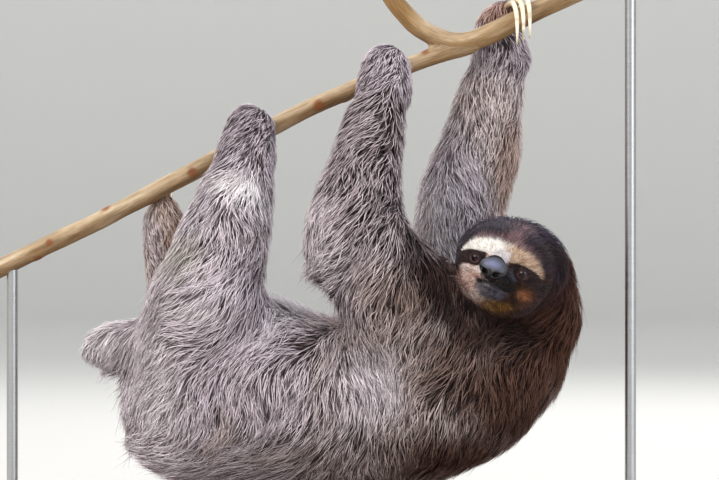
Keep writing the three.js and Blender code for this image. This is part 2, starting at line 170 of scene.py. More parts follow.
def linear(hex_colour):
    """An sRGB hex colour as linear red, green and blue."""
    code = hex_colour.lstrip("#")
    parts = [int(code[i:i + 2], 16) / 255.0 for i in (0, 2, 4)]
    return tuple(c / 12.92 if c <= 0.04045 else ((c + 0.055) / 1.055) ** 2.4 for c in parts)


def tones(*hex_colours):
    """Hex colours as rows of linear ones."""
    return np.array([linear(c) for c in hex_colours])


def noise_at(points, scale):
    """Smooth noise at points, its grains about one over scale apart."""
    return np.array([noise.noise(Vector(p * scale)) for p in points])


def settings():
    """The sizes and colours that a user may change."""
    return bpy.context.scene.sloth


def away_from(points, middle_point, reach):
    """How far points lie from a middle, 1 at the surface of an ellipsoid with that reach."""
    return np.linalg.norm((points - np.array(middle_point)) / np.array(reach), axis=1)


def put_in_scene(name, data):
    """A new object of the scene, at the origin."""
    made = bpy.data.objects.new(name, data)
    bpy.context.scene.collection.objects.link(made)
    return made


def new_object(name, mesh, material, slot, *nodes):
    """Puts a mesh in the scene as a piece of the object, which may stand for solids."""
    piece = put_in_scene(name, mesh)
    mesh.materials.append(material)
    mesh.polygons.foreach_set("use_smooth", np.ones(len(mesh.polygons), bool))
    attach(piece, "root")
    if nodes:
        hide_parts(*nodes)
    return piece


def mesh_of(name, bm):
    """A bmesh in millimetres as a mesh in metres, with its faces outward."""
    bmesh.ops.recalc_face_normals(bm, faces=bm.faces)
    bmesh.ops.scale(bm, vec=(MM, MM, MM), verts=bm.verts)
    mesh = bpy.data.meshes.new(name)
    bm.to_mesh(mesh)
    bm.free()
    return mesh


def points_of(mesh):
    """A mesh's points, in millimetres."""
    points = np.empty(len(mesh.vertices) * 3)
    mesh.vertices.foreach_get("co", points)
    return points.reshape(-1, 3) / MM


def set_points(mesh, points):
    """Moves a mesh's points to places in millimetres."""
    mesh.vertices.foreach_set("co", (points * MM).ravel())
    mesh.update()


def normals_of(mesh):
    """The outward direction at each of a mesh's points."""
    found = np.empty(len(mesh.vertices) * 3, np.float32)
    mesh.vertex_normals.foreach_get("vector", found)
    return found.reshape(-1, 3).astype(float)


def edges_of(mesh):
    """The two points of each of a mesh's edges."""
    found = np.empty(len(mesh.edges) * 2, np.int32)
    mesh.edges.foreach_get("vertices", found)
    return found.reshape(-1, 2)


def triangles_of(mesh):
    """Corner points and corner loops of a mesh's triangles."""
    mesh.calc_loop_triangles()
    corners = np.empty(len(mesh.loop_triangles) * 3, np.int32)
    loops = np.empty(len(mesh.loop_triangles) * 3, np.int32)
    mesh.loop_triangles.foreach_get("vertices", corners)
    mesh.loop_triangles.foreach_get("loops", loops)
    return corners.reshape(-1, 3), loops.reshape(-1, 3)


def spread(values, edges, times, keep=0.5):
    """Evens out values at points over a mesh's edges."""
    values = np.array(values, float)
    flat = values.reshape(len(values), -1)
    ends = np.concatenate([edges[:, 0], edges[:, 1]])
    others = np.concatenate([edges[:, 1], edges[:, 0]])
    count = np.maximum(np.bincount(ends, minlength=len(flat)), 1)
    for _ in range(times):
        for column in range(flat.shape[1]):
            summed = np.bincount(ends, weights=flat[others, column], minlength=len(flat))
            flat[:, column] = flat[:, column] * keep + summed / count * (1.0 - keep)
    return flat.reshape(values.shape)


def remeshed(mesh, voxel):
    """A copy of a mesh as one even closed skin."""
    holder = put_in_scene("holder", mesh)
    modifier = holder.modifiers.new("Even mesh", "REMESH")
    modifier.mode = "VOXEL"
    modifier.voxel_size = voxel * MM
    graph = bpy.context.evaluated_depsgraph_get()
    made = bpy.data.meshes.new_from_object(holder.evaluated_get(graph))
    bpy.data.objects.remove(holder)
    return made


def add_attribute(mesh, name, kind, values):
    """Gives a mesh's points values that a material can read."""
    field = {"FLOAT": "value", "FLOAT_VECTOR": "vector", "FLOAT_COLOR": "color"}[kind]
    layer = mesh.attributes.new(name, kind, "POINT")
    layer.data.foreach_set(field, np.asarray(values, np.float32).ravel())


def colour_attribute(mesh, name, colours):
    """Gives a mesh's points linear colours."""
    full = np.ones((len(colours), 4), np.float32)
    full[:, :3] = colours
    add_attribute(mesh, name, "FLOAT_COLOR", full)


def rounded_bar(bm, stations, sides):
    """Draws a round bar of changing thickness along stations (point, radius) by extruding its end."""
    middles = [Vector(p) for p, _ in stations]
    made = bmesh.ops.create_circle(bm, cap_ends=True, radius=1.0, segments=sides)
    ring = made["verts"]
    cap = next(f for f in {f for v in ring for f in v.link_faces})
    turn = Vector((0, 0, 1)).rotation_difference(middles[1] - middles[0])
    bmesh.ops.scale(bm, vec=[stations[0][1]] * 3, verts=ring)
    bmesh.ops.rotate(bm, cent=(0, 0, 0), matrix=turn.to_matrix(), verts=ring)
    bmesh.ops.translate(bm, vec=middles[0], verts=ring)
    heading = (middles[1] - middles[0]).normalized()
    every = list(ring)
    for i in range(1, len(stations)):
        grown = bmesh.ops.extrude_face_region(bm, geom=[cap], use_keep_orig=i == 1)
        cap = next(g for g in grown["geom"] if isinstance(g, bmesh.types.BMFace))
        ring = list(cap.verts)
        after = middles[min(i + 1, len(middles) - 1)] - middles[i - 1]
        turn = heading.rotation_difference(after.normalized())
        heading = after.normalized()
        share = stations[i][1] / stations[i - 1][1]
        bmesh.ops.translate(bm, vec=middles[i] - middles[i - 1], verts=ring)
        bmesh.ops.rotate(bm, cent=middles[i], matrix=turn.to_matrix(), verts=ring)
        bmesh.ops.scale(bm, vec=[share] * 3, verts=ring, space=Matrix.Translation(-middles[i]))
        every += ring
    return every


def smooth_line(points, steps):
    """Points along a smooth curve through rows of numbers, the same number of steps between each two."""
    rows = []
    count = len(points)
    for i in range(count - 1):
        before, start, end, after = (points[max(0, min(count - 1, i + k))] for k in (-1, 0, 1, 2))
        for step in range(steps):
            t = step / steps
            rows.append(0.5 * (
                2 * start + (end - before) * t
                + (2 * before - 5 * start + 4 * end - after) * t * t
                + (3 * start - before - 3 * end + after) * t ** 3))
    rows.append(points[-1])
    return np.array(rows)


# ---- Materials ----


def add_node(tree, kind, links=None, **values):
    """Adds one node; values are its settings, and links its sockets' values or the outputs they read."""
    made = tree.nodes.new(kind)
    for name, value in values.items():
        setattr(made, name, value)
    for name, value in (links or {}).items():
        if isinstance(value, bpy.types.NodeSocket):
            tree.links.new(value, made.inputs[name])
        else:
            made.inputs[name].default_value = value
    return made


def set_stops(ramp, stops):
    """Gives a colour ramp its stops, each a place and a hex or linear colour."""
    elements = ramp.color_ramp.elements
    while len(elements) < len(stops):
        elements.new(0.5)
    for element, (position, colour) in zip(elements, stops):
        element.position = position
        element.color = (*(linear(colour) if isinstance(colour, str) else colour), 1.0)


def finish_surface(tree, shader, colour, bump=None):
    """Leads a material's colour, and its bump where it has one, to the shader."""
    tree.links.new(colour, shader.inputs["Base Color"])
    if bump:
        tree.links.new(bump.outputs["Normal"], shader.inputs["Normal"])


def new_material(name, **shader):
    """A material, its node tree and its shader, with the shader's own sockets set by name."""
    material = bpy.data.materials.new(name)
    material.use_nodes = True
    tree = material.node_tree
    principled = tree.nodes["Principled BSDF"]
    for socket, value in shader.items():
        principled.inputs[socket.replace("_", " ")].default_value = value
    return material, tree, principled


# ---- The head's form ----

FACE_MIDDLE = (0.0, -6.0)
FACE_REACH = (40.0, 36.0)


def ellipsoid(points, centre, radii):
    """Distance to an ellipsoid, good near its surface."""
    inside = (points - np.array(centre, float)) / np.array(radii, float)
    near = np.linalg.norm(inside, axis=1)
    slope = np.linalg.norm(inside / np.array(radii, float), axis=1)
    return near * (near - 1.0) / np.maximum(slope, 1e-9)


def round_cone(points, start, end):
    """Distance to a cone with round ends, each end x, y, z and radius."""
    start, end = np.array(start, float), np.array(end, float)
    along = end[:3] - start[:3]
    share = np.clip((points - start[:3]) @ along / (along @ along), 0.0, 1.0)
    away = np.linalg.norm(points - start[:3] - share[:, None] * along, axis=1)
    return away - (start[3] + (end[3] - start[3]) * share)


def face_place(local):
    """How far out a point of the head lies from the face's middle: 1 is the face's edge."""
    across = (local[:, 0] - FACE_MIDDLE[0]) / FACE_REACH[0]
    up = (local[:, 1] - FACE_MIDDLE[1]) / FACE_REACH[1]
    out = np.hypot(across, up)
    behind = ease(14.0, -6.0, local[:, 2])
    return out + 0.8 * behind


def head_depth(local):
    """How far the head's skin lies under the tips of its hair."""
    place = face_place(local)
    return 2.4 + 4.8 * ease(0.82, 1.35, place)


def gaze(side):
    """The way an eye looks, in the head's frame; side is 1 for the left eye and -1 for the right."""
    return unit([0.17 * side, -0.03, 0.98])


def across_gaze(side):
    """The two directions across an eye's gaze, level and upright."""
    level = unit(np.cross([0.0, 1.0, 0.0], gaze(side)))
    return level, np.cross(gaze(side), level)


def eye_middle(side):
    """The middle of an eyeball, in the head's frame."""
    return np.array([EYE_ASIDE * side, EYE_ABOVE, EYE_AHEAD])


# The eyeball's radius, the lid's thickness, and the half width and half height of the lids' opening.
EYEBALL = 6.4
LID = 1.0
LID_OPENING = (4.6, 3.75)


def lid_place(local, side):
    """How far out from the lids' opening a point lies, its distance from the eye's middle, and its height.

    The first is 1 at the opening's edge, and the last is 1 at its top.
    """
    level, upright = across_gaze(side)
    offset = local - eye_middle(side)
    away = np.maximum(np.linalg.norm(offset, axis=1), 1e-6)
    ray = offset / away[:, None] * (EYEBALL + LID)
    height = ray @ upright / LID_OPENING[1]
    place = np.where(ray @ gaze(side) > 0, np.hypot((ray @ level) / LID_OPENING[0], height), 9.0)
    return place, away, height


def mouth_height(across):
    """The height of the line between the lips."""
    return -13.6 - 2.8 * ease(0.0, 13.5, abs(across)) + 3.4 * ease(13.5, 22.0, abs(across))


def head_field(local):
    """Distance to the head's skin."""
    mirror = np.stack([abs(local[:, 0]), local[:, 1], local[:, 2]], 1)
    d = blend_min(
        ellipsoid(local, (0, 4, -13), (52, 41, 38)), ellipsoid(local, (0, -4, 12), (41, 41, 22)), 26)
    d = blend_min(d, round_cone(local, (0, 4, 16, 17), (0, 0.0, 39, 10.2)), 6)
    d = blend_min(d, round_cone(local, (0, -7, 14, 20), (0, -8.5, 40, 12.8)), 5)
    d = blend_min(d, round_cone(local, (0, -19, 12, 18), (0, -17.5, 37, 10.4)), 4.5)
    d = blend_min(d, ellipsoid(mirror, (21, -22, 16), (18, 17, 14)), 6)
    d = blend_min(d, ellipsoid(mirror, (14, 13.5, 25), (15, 8, 9)), 7)
    d = -blend_min(-d, ellipsoid(mirror, (21.4, 0, 37), (9, 6.5, 7)), 5)
    d += head_depth(local)
    upper_lip = ellipsoid(mirror, (6.0, -9.2, 41.0), (7.2, 5.0, 9.5))
    d = blend_min(d, upper_lip, 3.0)
    for side in (-1, 1):
        d = blend_min(d, np.linalg.norm(local - eye_middle(side), axis=1) - EYEBALL - LID, 3.0)
        place, _, above = lid_place(local, side)
        crease = np.exp(-(((place - 1.62) / 0.16) ** 2)) * np.where(above > 0, 0.55, 0.4)
        d += crease
    across = local[:, 0]
    from_mouth = local[:, 1] - mouth_height(across)
    mouth = ease(21.0, 17.5, abs(across)) * ease(26.0, 31.0, local[:, 2])
    d += 1.5 * mouth * np.exp(-((from_mouth / 0.85) ** 2))
    d -= 0.7 * mouth * np.exp(-(((from_mouth + 2.4) / 1.3) ** 2))
    cleft = ease(1.6, 0.0, abs(across)) * ease(-9.0, -11.0, local[:, 1]) * ease(-14.4, -13.4, local[:, 1])
    return d + 0.6 * cleft * ease(30.0, 36.0, local[:, 2])


def onto_head(local):
    """Moves points onto the head's skin along the field's slope."""
    local = local.copy()
    step = 0.05
    for _ in range(7):
        d = head_field(local)
        slope = np.stack([head_field(local + np.eye(3)[axis] * step) - d for axis in range(3)], 1) / step
        size = np.maximum(np.linalg.norm(slope, axis=1), 0.35)
        move = np.clip(d / size, -4.0, 4.0)
        local -= slope / size[:, None] * move[:, None] * 0.9
    for side in (-1, 1):
        place, away, _ = lid_place(local, side)
        near = away < EYEBALL + LID + 3.0
        inside = (place < 1.0) & near
        rim = ease(0.84, 1.0, place)
        radius = mix(EYEBALL - 0.9, EYEBALL + LID, rim)
        offset = local - eye_middle(side)
        local = np.where(inside[:, None], eye_middle(side) + offset / away[:, None] * radius[:, None], local)
    return local


# ---- Markings ----

# Each is the colour of the shadows between the locks, of the locks, and of their palest strands.
TONE = {
    "body": tones("#2d2322", "#8f8382", "#e6dce1"),
    "flank": tones("#352b2a", "#968b8f", "#efe6ee"),
    "rump": tones("#463b3a", "#b2a6ac", "#fcf5fa"),
    "chest": tones("#291c18", "#8c7c75", "#e8dcd7"),
    "shoulder": tones("#140807", "#452c25", "#8f7464"),
    "neck": tones("#120807", "#3a201a", "#72503f"),
    "near_arm": tones("#1a0f0e", "#605354", "#dfd3d5"),
    "far_arm": tones("#54463f", "#c1b2ae", "#f6ede9"),
    "far_arm_edge": tones("#573828", "#a27c64", "#d0ab93"),
    "paw": tones("#2c2223", "#897d82", "#e6dde3"),
    "shank": tones("#3a3031", "#9c9196", "#f5eff3"),
    "pale": tones("#5a4f4f", "#cbbfc6", "#fdf8fc"),
    # Painted shadow: the dark under the chin and jaw.
    "shadow_under_chin": tones("#0a0403", "#1c0f0c", "#3d2820"),
    "white": tones("#e2dedc", "#ffffff", "#ffffff"),
    "foot_inside": tones("#9a7a64", "#e8d4c6", "#fcf3ea"),
    "rust": tones("#5a3620", "#a06a44", "#cb9c78"),
    "thigh": tones("#372d2d", "#90858a", "#eae1e7"),
    "tail": tones("#6b5854", "#d5c7ca", "#ffffff"),
    "tan": tones("#4a3b33", "#a08d80", "#ded1c5"),
    # Painted shadow: the dark line along edges where one part lies over another.
    "painted_shadow_edge": tones("#070303", "#1b0e0c", "#45302a"),
    "palm": tones("#5a3d33", "#aa8270", "#d8b9a9"),
    "green": tones("#4e5442", "#8f9279", "#bcbda6"),
    "crown": tones("#0f0a11", "#281f2b", "#463a4d"),
    "crown_warm": tones("#45302f", "#7d5e60", "#ad8f91"),
    "hood": tones("#120707", "#311a18", "#5c3c36"),
    "brow": tones("#cfc6bc", "#fbf6ee", "#ffffff"),
    # Painted shade: a darker copy of the pale band for the face's side turned from the light.
    "brow_shaded": tones("#8d6f5c", "#c8a98f", "#e0c7b0"),
    "streak": tones("#150b0d", "#2b1a1c", "#44302f"),
    "cheek": tones("#865c50", "#cba79c", "#eed6cf"),
    # Painted shade: a darker copy of the cheek for the face's side turned from the light.
    "cheek_shaded": tones("#140b07", "#331c12", "#523626"),
    "orange": tones("#6b3b20", "#a5663f", "#c68a61"),
    # A dark ring at the face's edge: partly its dark hair and partly painted shade.
    "rim": tones("#1f0d0d", "#42211f", "#6d443d"),
    "bridge": tones("#9d969c", "#d5ccd0", "#eee8ea"),
    "muzzle_side": tones("#a58f8a", "#dccdc9", "#f2e8e4"),
    # Painted shade: a darker copy of the muzzle's side for the face's side turned from the light.
    "muzzle_shaded": tones("#26252c", "#4c4a54", "#76737f"),
    "lips": tones("#0e0a0b", "#1f181a", "#372e31"),
    "chin": tones("#2a252e", "#585360", "#8c8694"),
    "throat": tones("#4a2c10", "#7d5426", "#a5803f"),
}
NODE_TONE = {
    "chest": "chest", "belly": "flank", "tail": "tail", "neck": "neck", "head": "hood",
    "upper_arm_left": "near_arm", "forearm_left": "near_arm", "hand_left": "paw",
    "upper_arm_right": "far_arm", "forearm_right": "far_arm", "hand_right": "paw",
    "thigh_left": "thigh", "shank_left": "shank", "foot_left": "paw",
    "thigh_right": "rump", "shank_right": "foot_inside", "foot_right": "foot_inside",
}

# Patches of colour on the body: tone, middle, reach along each axis and strength.
PATCHES = [
    ("rump", (-150, -20, 130), (66, 150, 110), 0.8),
    ("rump", (-90, -60, 235), (50, 80, 60), 0.6),
    ("pale", (-150, -40, 100), (56, 110, 44), 0.75),
    ("pale", (-190, -10, 160), (40, 90, 40), 0.5),
    ("body", (20, -60, 120), (60, 110, 60), 0.5),
    ("chest", (96, -40, 100), (70, 130, 60), 0.7),
    ("chest", (62, -105, 238), (32, 50, 26), 0.7),
    ("shoulder", (128, -50, 172), (46, 130, 44), 0.8),
    ("shoulder", (120, -40, 92), (60, 130, 28), 0.9),
    ("neck", (176, -50, 140), (52, 130, 44), 0.95),
    ("neck", (196, -8, 190), (44, 140, 44), 0.95),
    # Painted shadow under the chin and jaw.
    ("shadow_under_chin", (176, -66, 194), (40, 60, 18), 0.9),
    ("shadow_under_chin", (146, -84, 203), (30, 40, 14), 0.75),
    ("chest", (82, -105, 212), (40, 60, 36), 0.6),
    ("shoulder", (127, -80, 216), (15, 50, 22), 0.8),
    # Painted shadow under the chin.
    ("shadow_under_chin", (182, -62, 196), (26, 50, 22), 0.95),
    ("pale", (8, -105, 252), (28, 60, 38), 0.95),
    ("pale", (10, -95, 292), (15, 60, 34), 0.5),
    ("shoulder", (28, -50, 300), (16, 44, 34), 0.45),
    ("shoulder", (92, -60, 92), (50, 130, 30), 0.5),
    ("neck", (126, -50, 96), (46, 130, 22), 0.6),
    ("neck", (150, -60, 150), (30, 130, 30), 0.5),
    ("palm", (156, -10, 470), (20, 44, 15), 0.85),
    ("pale", (112, 46, 284), (34, 52, 34), 0.85),
    ("shoulder", (74, -105, 234), (26, 50, 16), 0.45),
    ("body", (-70, -60, 281), (34, 60, 15), 0.7),
    ("body", (-45, -70, 150), (36, 90, 34), 0.6),
    ("pale", (-90, -40, 72), (96, 120, 20), 0.75),
    ("pale", (-130, -50, 166), (24, 70, 52), 0.6),
    ("pale", (-160, -40, 130), (50, 110, 80), 0.7),
    ("tan", (-77, -60, 110), (13, 60, 34), 0.7),
    ("tan", (-20, -60, 90), (46, 60, 22), 0.5),
    ("pale", (110, 40, 262), (34, 52, 30), 0.7),
    ("pale", (44, -70, 160), (38, 110, 40), 0.75),
    ("pale", (118, 20, 300), (36, 60, 56), 0.55),
    ("green", (-108, -60, 262), (22, 60, 22), 0.45),
    ("pale", (-74, -76, 318), (24, 44, 18), 0.7),
    ("white", (-66, -76, 319), (19, 44, 13), 1.0),
    ("white", (-55, -52, 304), (8, 40, 14), 0.3),
    ("pale", (-150, 5, 268), (12, 40, 40), 0.7),
    ("rust", (-124, 10, 274), (13, 50, 24), 0.8),
    ("white", (-96, -70, 216), (26, 50, 12), 0.4),
    ("far_arm_edge", (172, 20, 330), (20, 70, 60), 0.6),
    # The far arm's lower side: partly its pale fur and partly painted light where shade falls.
    ("pale", (94, 34, 290), (34, 50, 56), 0.9),
    ("pale", (116, 24, 330), (38, 50, 54), 0.8),
    ("white", (98, 30, 288), (34, 50, 46), 0.5),
    ("white", (-200, 0, 176), (44, 60, 34), 0.35),
    ("white", (-132, -60, 160), (18, 60, 50), 0.35),
    # Painted light: the hollow between the leg and the arm, in shade under them, is painted pale.
    ("pale", (-18, -10, 202), (52, 90, 30), 1.0),
    ("white", (-22, -20, 202), (38, 70, 20), 0.45),
    ("shoulder", (86, -100, 228), (28, 60, 20), 0.55),
    ("shoulder", (118, -96, 194), (26, 60, 16), 0.45),
    # Painted shadow: a dark line along the near arm's edge where it lies over the far arm.
    ("painted_shadow_edge", (74, -86, 266), (12, 80, 18), 0.8),
    ("painted_shadow_edge", (90, -92, 250), (16, 80, 19), 1.0),
    ("painted_shadow_edge", (106, -94, 235), (17, 80, 19), 1.0),
    ("painted_shadow_edge", (122, -92, 219), (18, 80, 19), 1.0),
    ("painted_shadow_edge", (138, -90, 202), (20, 80, 17), 1.0),
]


def patched(points, found):
    """The body's tones with its patches of colour laid over them."""
    for name, centre, reach, strength in PATCHES:
        share = strength * ease(1.25, 0.45, away_from(points, centre, reach))
        found = mix(found, TONE[name], share[:, None, None])
    return found


def curve_at(values, knots):
    """The height of a line through knots (place, height) at each place."""
    return np.interp(values, [k[0] for k in knots], [k[1] for k in knots])


# The pale band over the eyes and the dark streak beside them, as knots from the head's middle line outwards.
BAND_BOTTOM = [(0, 10.5), (6, 9.6), (10, 7.4), (15, 8.3), (22, 8.0), (29, 6.6), (36, 3.8), (40, 0.0)]
BAND_TOP = [
    (0, 22.8), (8, 23.2), (14, 22.0), (20, 20.8), (26, 18.8), (31, 15.8), (35, 11.8), (38, 6.5), (40, 0.5),
]
STREAK_BOTTOM = [
    (11.4, 4.5), (13, 0.8), (16, -3.4), (20, -5.2), (27, -5.9), (32, -7.2), (36, -10.5), (41, -15.0),
]
MOUTH_CORNER = 21.5


def head_tones(local):
    """The three tones at each point of the head."""
    x, y, z = local.T
    a = abs(x)
    # Heights over the pale band's top and bottom edges.
    over_top = y - curve_at(a, BAND_TOP)
    over_bottom = y - curve_at(a, BAND_BOTTOM)
    # How far a point lies on the face's side turned from the light, where darker copies of tones are laid as
    # painted shade.
    shaded_side = ease(-6.0, 12.0, x)[:, None, None]
    place = face_place(local)
    front = ease(0.0, 12.0, z)
    found = np.repeat(TONE["hood"][None], len(local), 0)

    # Lays a tone over the found ones; with a second tone, that darker copy takes over towards the shaded
    # side as painted shade.
    def lay(name, share, shaded_name=None):
        tone = TONE[name] if shaded_name is None else mix(TONE[name], TONE[shaded_name], shaded_side)
        found[:] = mix(found, tone, share[:, None, None])

    def spot(middle_point, reach, full=0.3, none=1.0):
        away = np.hypot((x - middle_point[0]) / reach[0], (y - middle_point[1]) / reach[1])
        return ease(none, full, away)

    lay("crown", ease(0.0, 16.0, y) * ease(-40.0, -10.0, z) * ease(50.0, 34.0, x))
    tuft = spot((4.0, 29.0), (15.0, 9.0)) * front
    lay("crown_warm", 0.7 * tuft)
    fringe = ease(5.0, 1.0, abs(over_top - 1.5)) * front * ease(36.0, 26.0, a)
    lay("crown_warm", 0.75 * fringe)
    # Painted shade: the deep shadow between the pale band and the hood, laid in the streak's tone.
    deep_shade = spot((30.0, 23.0), (15.0, 15.0), 0.4) * ease(0.0, 6.0, over_top)
    lay("streak", 0.7 * deep_shade)
    # Painted shadow: the head's near lower edge and its outline against the body are darkened.
    shade_beneath = ease(8.0, -6.0, y) * ease(8.0, -8.0, x)
    lay("painted_shadow_edge", 0.95 * shade_beneath * ease(0.96, 1.05, place))
    inside = ease(1.03, 0.95, place) * front * ease(6.0, 0.0, over_bottom)
    lay("cheek", inside, "cheek_shaded")
    under_eye = np.maximum(spot((-17.5, -7.5), (9.0, 4.0)), spot((-29.0, -10.0), (8.0, 5.0)))
    lay("muzzle_side", 0.8 * under_eye * inside)
    orange = spot((29.5, -16.5), (8.6, 7.0), 0.15, 1.15)
    lay("orange", 0.7 * orange * inside)
    throat = ease(-25.0, -31.0, y) * inside
    lay("throat", 0.9 * throat * ease(-14.0, -2.0, x) * ease(30.0, 18.0, x))
    # A dark ring round the face's edge, wider on the near side: partly the face's dark edging hair and
    # partly painted shade where the long hair parts round the face.
    near = ease(0.0, -20.0, x)
    rim = ease(0.87 - 0.08 * near, 0.99 - 0.06 * near, place) * ease(14.0, 2.0, y) * inside
    lay("rim", 0.9 * rim)
    # Painted shadow again, along the face's near lower edge.
    lay("painted_shadow_edge", 0.9 * shade_beneath * ease(0.88, 0.97, place))
    low_far = ease(10.0, 26.0, x) * ease(-24.0, -34.0, y + 0.25 * x) * inside
    lay("hood", 0.8 * low_far)
    beside_nose = ease(1.0, 0.5, np.hypot((a - 14.5) / 6.5, (y + 3.5) / 10.0)) * front
    lay("muzzle_side", beside_nose, "muzzle_shaded")
    stripe = ease(1.0, 0.4, np.hypot((x + 13.0 + 0.2 * y) / 3.4, (y - 0.5) / 8.0)) * front
    lay("brow", 0.8 * stripe)
    pale_jaw = spot((-11.0, -30.0), (12.0, 6.0)) * inside
    lay("muzzle_side", 0.7 * pale_jaw)
    chin = spot((0.0, -20.0), (15.2, 8.8), 0.72, 1.22) * front
    lay("chin", chin)
    lay("bridge", 0.24 * chin * ease(5.0, -9.0, x))
    lips = spot((2.5, -9.0), (15.0, 6.4), 0.8, 1.15) * ease(20.0, 30.0, z)
    along_mouth = ease(3.2, 1.4, abs(y - mouth_height(x))) * ease(MOUTH_CORNER, 18.0, a)
    along_mouth = along_mouth * ease(20.0, 30.0, z) * ease(-18.0, -13.0, x)
    lay("lips", np.maximum(lips, along_mouth))
    band = ease(-1.0, 1.0, over_bottom) * ease(2.2, -3.0, over_top)
    band *= ease(40.0, 37.5, a) * ease(2.0, 8.0, z) * ease(1.04, 0.97, place)
    lay("brow", band, "brow_shaded")
    bridge = ease(9.5, 6.0, a) * ease(4.0, 8.0, y) * ease(18.0, 12.0, y) * ease(24.0, 30.0, z)
    lay("bridge", 0.9 * bridge)
    streak = ease(0.8, -0.8, over_bottom) * ease(-1.0, 0.8, y - curve_at(a, STREAK_BOTTOM))
    streak *= ease(12.0, 14.0, a) * ease(-14.0, -4.0, z)
    lay("streak", streak)
    return found


# ---- Skin ----

# For each solid of flesh: how deep the skin lies under the coat, the locks' length and width, how many
# grow on a square centimetre, and the way they lie.
COAT = {
    "chest": (10.0, 26, 1.32, 28, (-0.3, 0.0, -0.95)),
    "belly": (10.0, 27, 1.32, 28, (-0.70, 0.0, -0.70)),
    "tail": (6.0, 18, 1.30, 29, (-0.45, 0.0, -0.89)),
    "neck": (9.5, 30, 1.30, 31, (0.02, 0.04, -1.0)),
    "head": (8.0, 22, 1.10, 42, (0.0, 0.0, -1.0)),
    "upper_arm_left": (10.0, 24, 1.25, 30, (-0.42, -0.05, -0.91)),
    "forearm_left": (9.0, 20, 1.20, 33, (-0.48, -0.05, -0.87)),
    "hand_left": (4.8, 12, 1.05, 52, (-0.55, -0.1, -0.83)),
    "upper_arm_right": (9.5, 23, 1.25, 29, (-0.42, 0.0, -0.91)),
    "forearm_right": (9.0, 19, 1.18, 31, (-0.3, 0.0, -0.95)),
    "hand_right": (4.8, 12, 1.10, 50, (-0.10, 0.0, -1.0)),
    "thigh_left": (10.0, 25, 1.25, 30, (-0.64, -0.05, -0.77)),
    "shank_left": (8.5, 19, 1.20, 34, (-0.36, -0.05, -0.93)),
    "foot_left": (4.8, 12, 1.05, 52, (-0.5, -0.1, -0.86)),
    "thigh_right": (8.0, 24, 1.40, 26, (-0.15, 0.0, -0.99)),
    "shank_right": (6.0, 16, 1.25, 34, (-0.05, 0.0, -1.0)),
    "foot_right": (5.0, 11, 1.10, 50, (-0.02, 0.0, -1.0)),
}

# Places where the hair is swept another way: middle, reach, the way it lies and how strongly.
SWEEPS = [
    ((4, -75, 235), (32, 60, 24), (-0.95, 0.0, -0.40), 0.85),
    ((-88, -60, 252), (46, 70, 26), (-0.95, 0.0, -0.30), 0.75),
    ((-127, -40, 85), (70, 120, 24), (-0.95, 0.0, -0.25), 0.8),
    ((-73, -60, 195), (80, 60, 36), (-0.92, 0.0, -0.40), 0.5),
    ((98, 30, 258), (34, 60, 28), (0.75, 0.0, -0.60), 0.7),
    ((86, 30, 283), (14, 50, 16), (-0.90, 0.0, 0.10), 0.7),
]

# Where the coat is taller than its part's usual depth: middle, reach and the height it gains.
TALLER = [
    ((20, 0, 196), (70, 110, 24), 6.0),
    ((-2, -75, 230), (26, 60, 20), 4.0),
    ((197, -20, 282), (28, 90, 22), 2.5),
    ((-213, 0, 184), (44, 60, 26), 6.5),
]

# The spacing of the skin's even mesh and, in metres, how far each solid is pushed out to meet the next.
SKIN_MESH = 3.6
SHELL_GAP = 0.0006

# What the coat needs to know of the skin that it grows on.
skin_data = {}


def flesh_shell():
    """All solids of flesh as one mesh, each pushed out a little so that they meet, and each face's solid."""
    bm = bmesh.new()
    owner = bm.faces.layers.int.new("owner")
    for number, name in enumerate(FLESH):
        before = len(bm.faces)
        bm.from_mesh(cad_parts[name].data)
        bm.faces.ensure_lookup_table()
        for face in bm.faces[before:]:
            face[owner] = number
    bmesh.ops.remove_doubles(bm, verts=bm.verts, dist=1e-5)
    bm.normal_update()
    owners = np.array([face[owner] for face in bm.faces])
    tree = BVHTree.FromBMesh(bm)
    for vert in bm.verts:
        vert.co += vert.normal * SHELL_GAP
    mesh = bpy.data.meshes.new("flesh_shell")
    bm.to_mesh(mesh)
    bm.free()
    return mesh, tree, owners


def solids_tree(names):
    """A search tree of the faces of some solids."""
    bm = bmesh.new()
    for name in names:
        bm.from_mesh(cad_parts[name].data)
    tree = BVHTree.FromBMesh(bm)
    bm.free()
    return tree


def distances(tree, points, most):
    """How far points lie from a search tree's faces, up to most."""
    found = np.full(len(points), most)
    for i, point in enumerate(points * MM):
        hit = tree.find_nearest(point, most * MM)
        if hit[3] is not None:
            found[i] = hit[3] / MM
    return found


def nearest_owner(tree, owners, points):
    """The number of the solid of flesh nearest to each point."""
    return np.array([owners[tree.find_nearest(point)[2]] for point in points * MM])


def refine(bm, wanted):
    """Splits in four each face whose corners are all wanted."""
    bm.verts.index_update()
    points = np.array([v.co for v in bm.verts]) / MM
    chosen = wanted(points)
    faces = [f for f in bm.faces if all(chosen[v.index] for v in f.verts)]
    edges = list({e for f in faces for e in f.edges})
    bmesh.ops.subdivide_edges(bm, edges=edges, cuts=1, use_grid_fill=True)


def head_share(points):
    """How far a point belongs to the head's own form, by its place in the head's frame."""
    local = into_head(points)
    below = local @ unit([0.0, -0.75, -0.66])
    inside = np.linalg.norm(local / np.array([52.0, 54.0, 66.0]), axis=1)
    return ease(1.12, 0.98, inside) * ease(34.0, 20.0, below)


def claw_nodes(paw):
    """The names of a paw's claws among the solids."""
    return [f"claw_{paw}_{i}" for i in (1, 2, 3)]


def from_branch(points):
    """How far points lie from the branch and the claws, up to 12 mm."""
    claws = [name for paw in PAWS for name in claw_nodes(paw)]
    return distances(solids_tree(["branch"] + claws), points, 12.0)


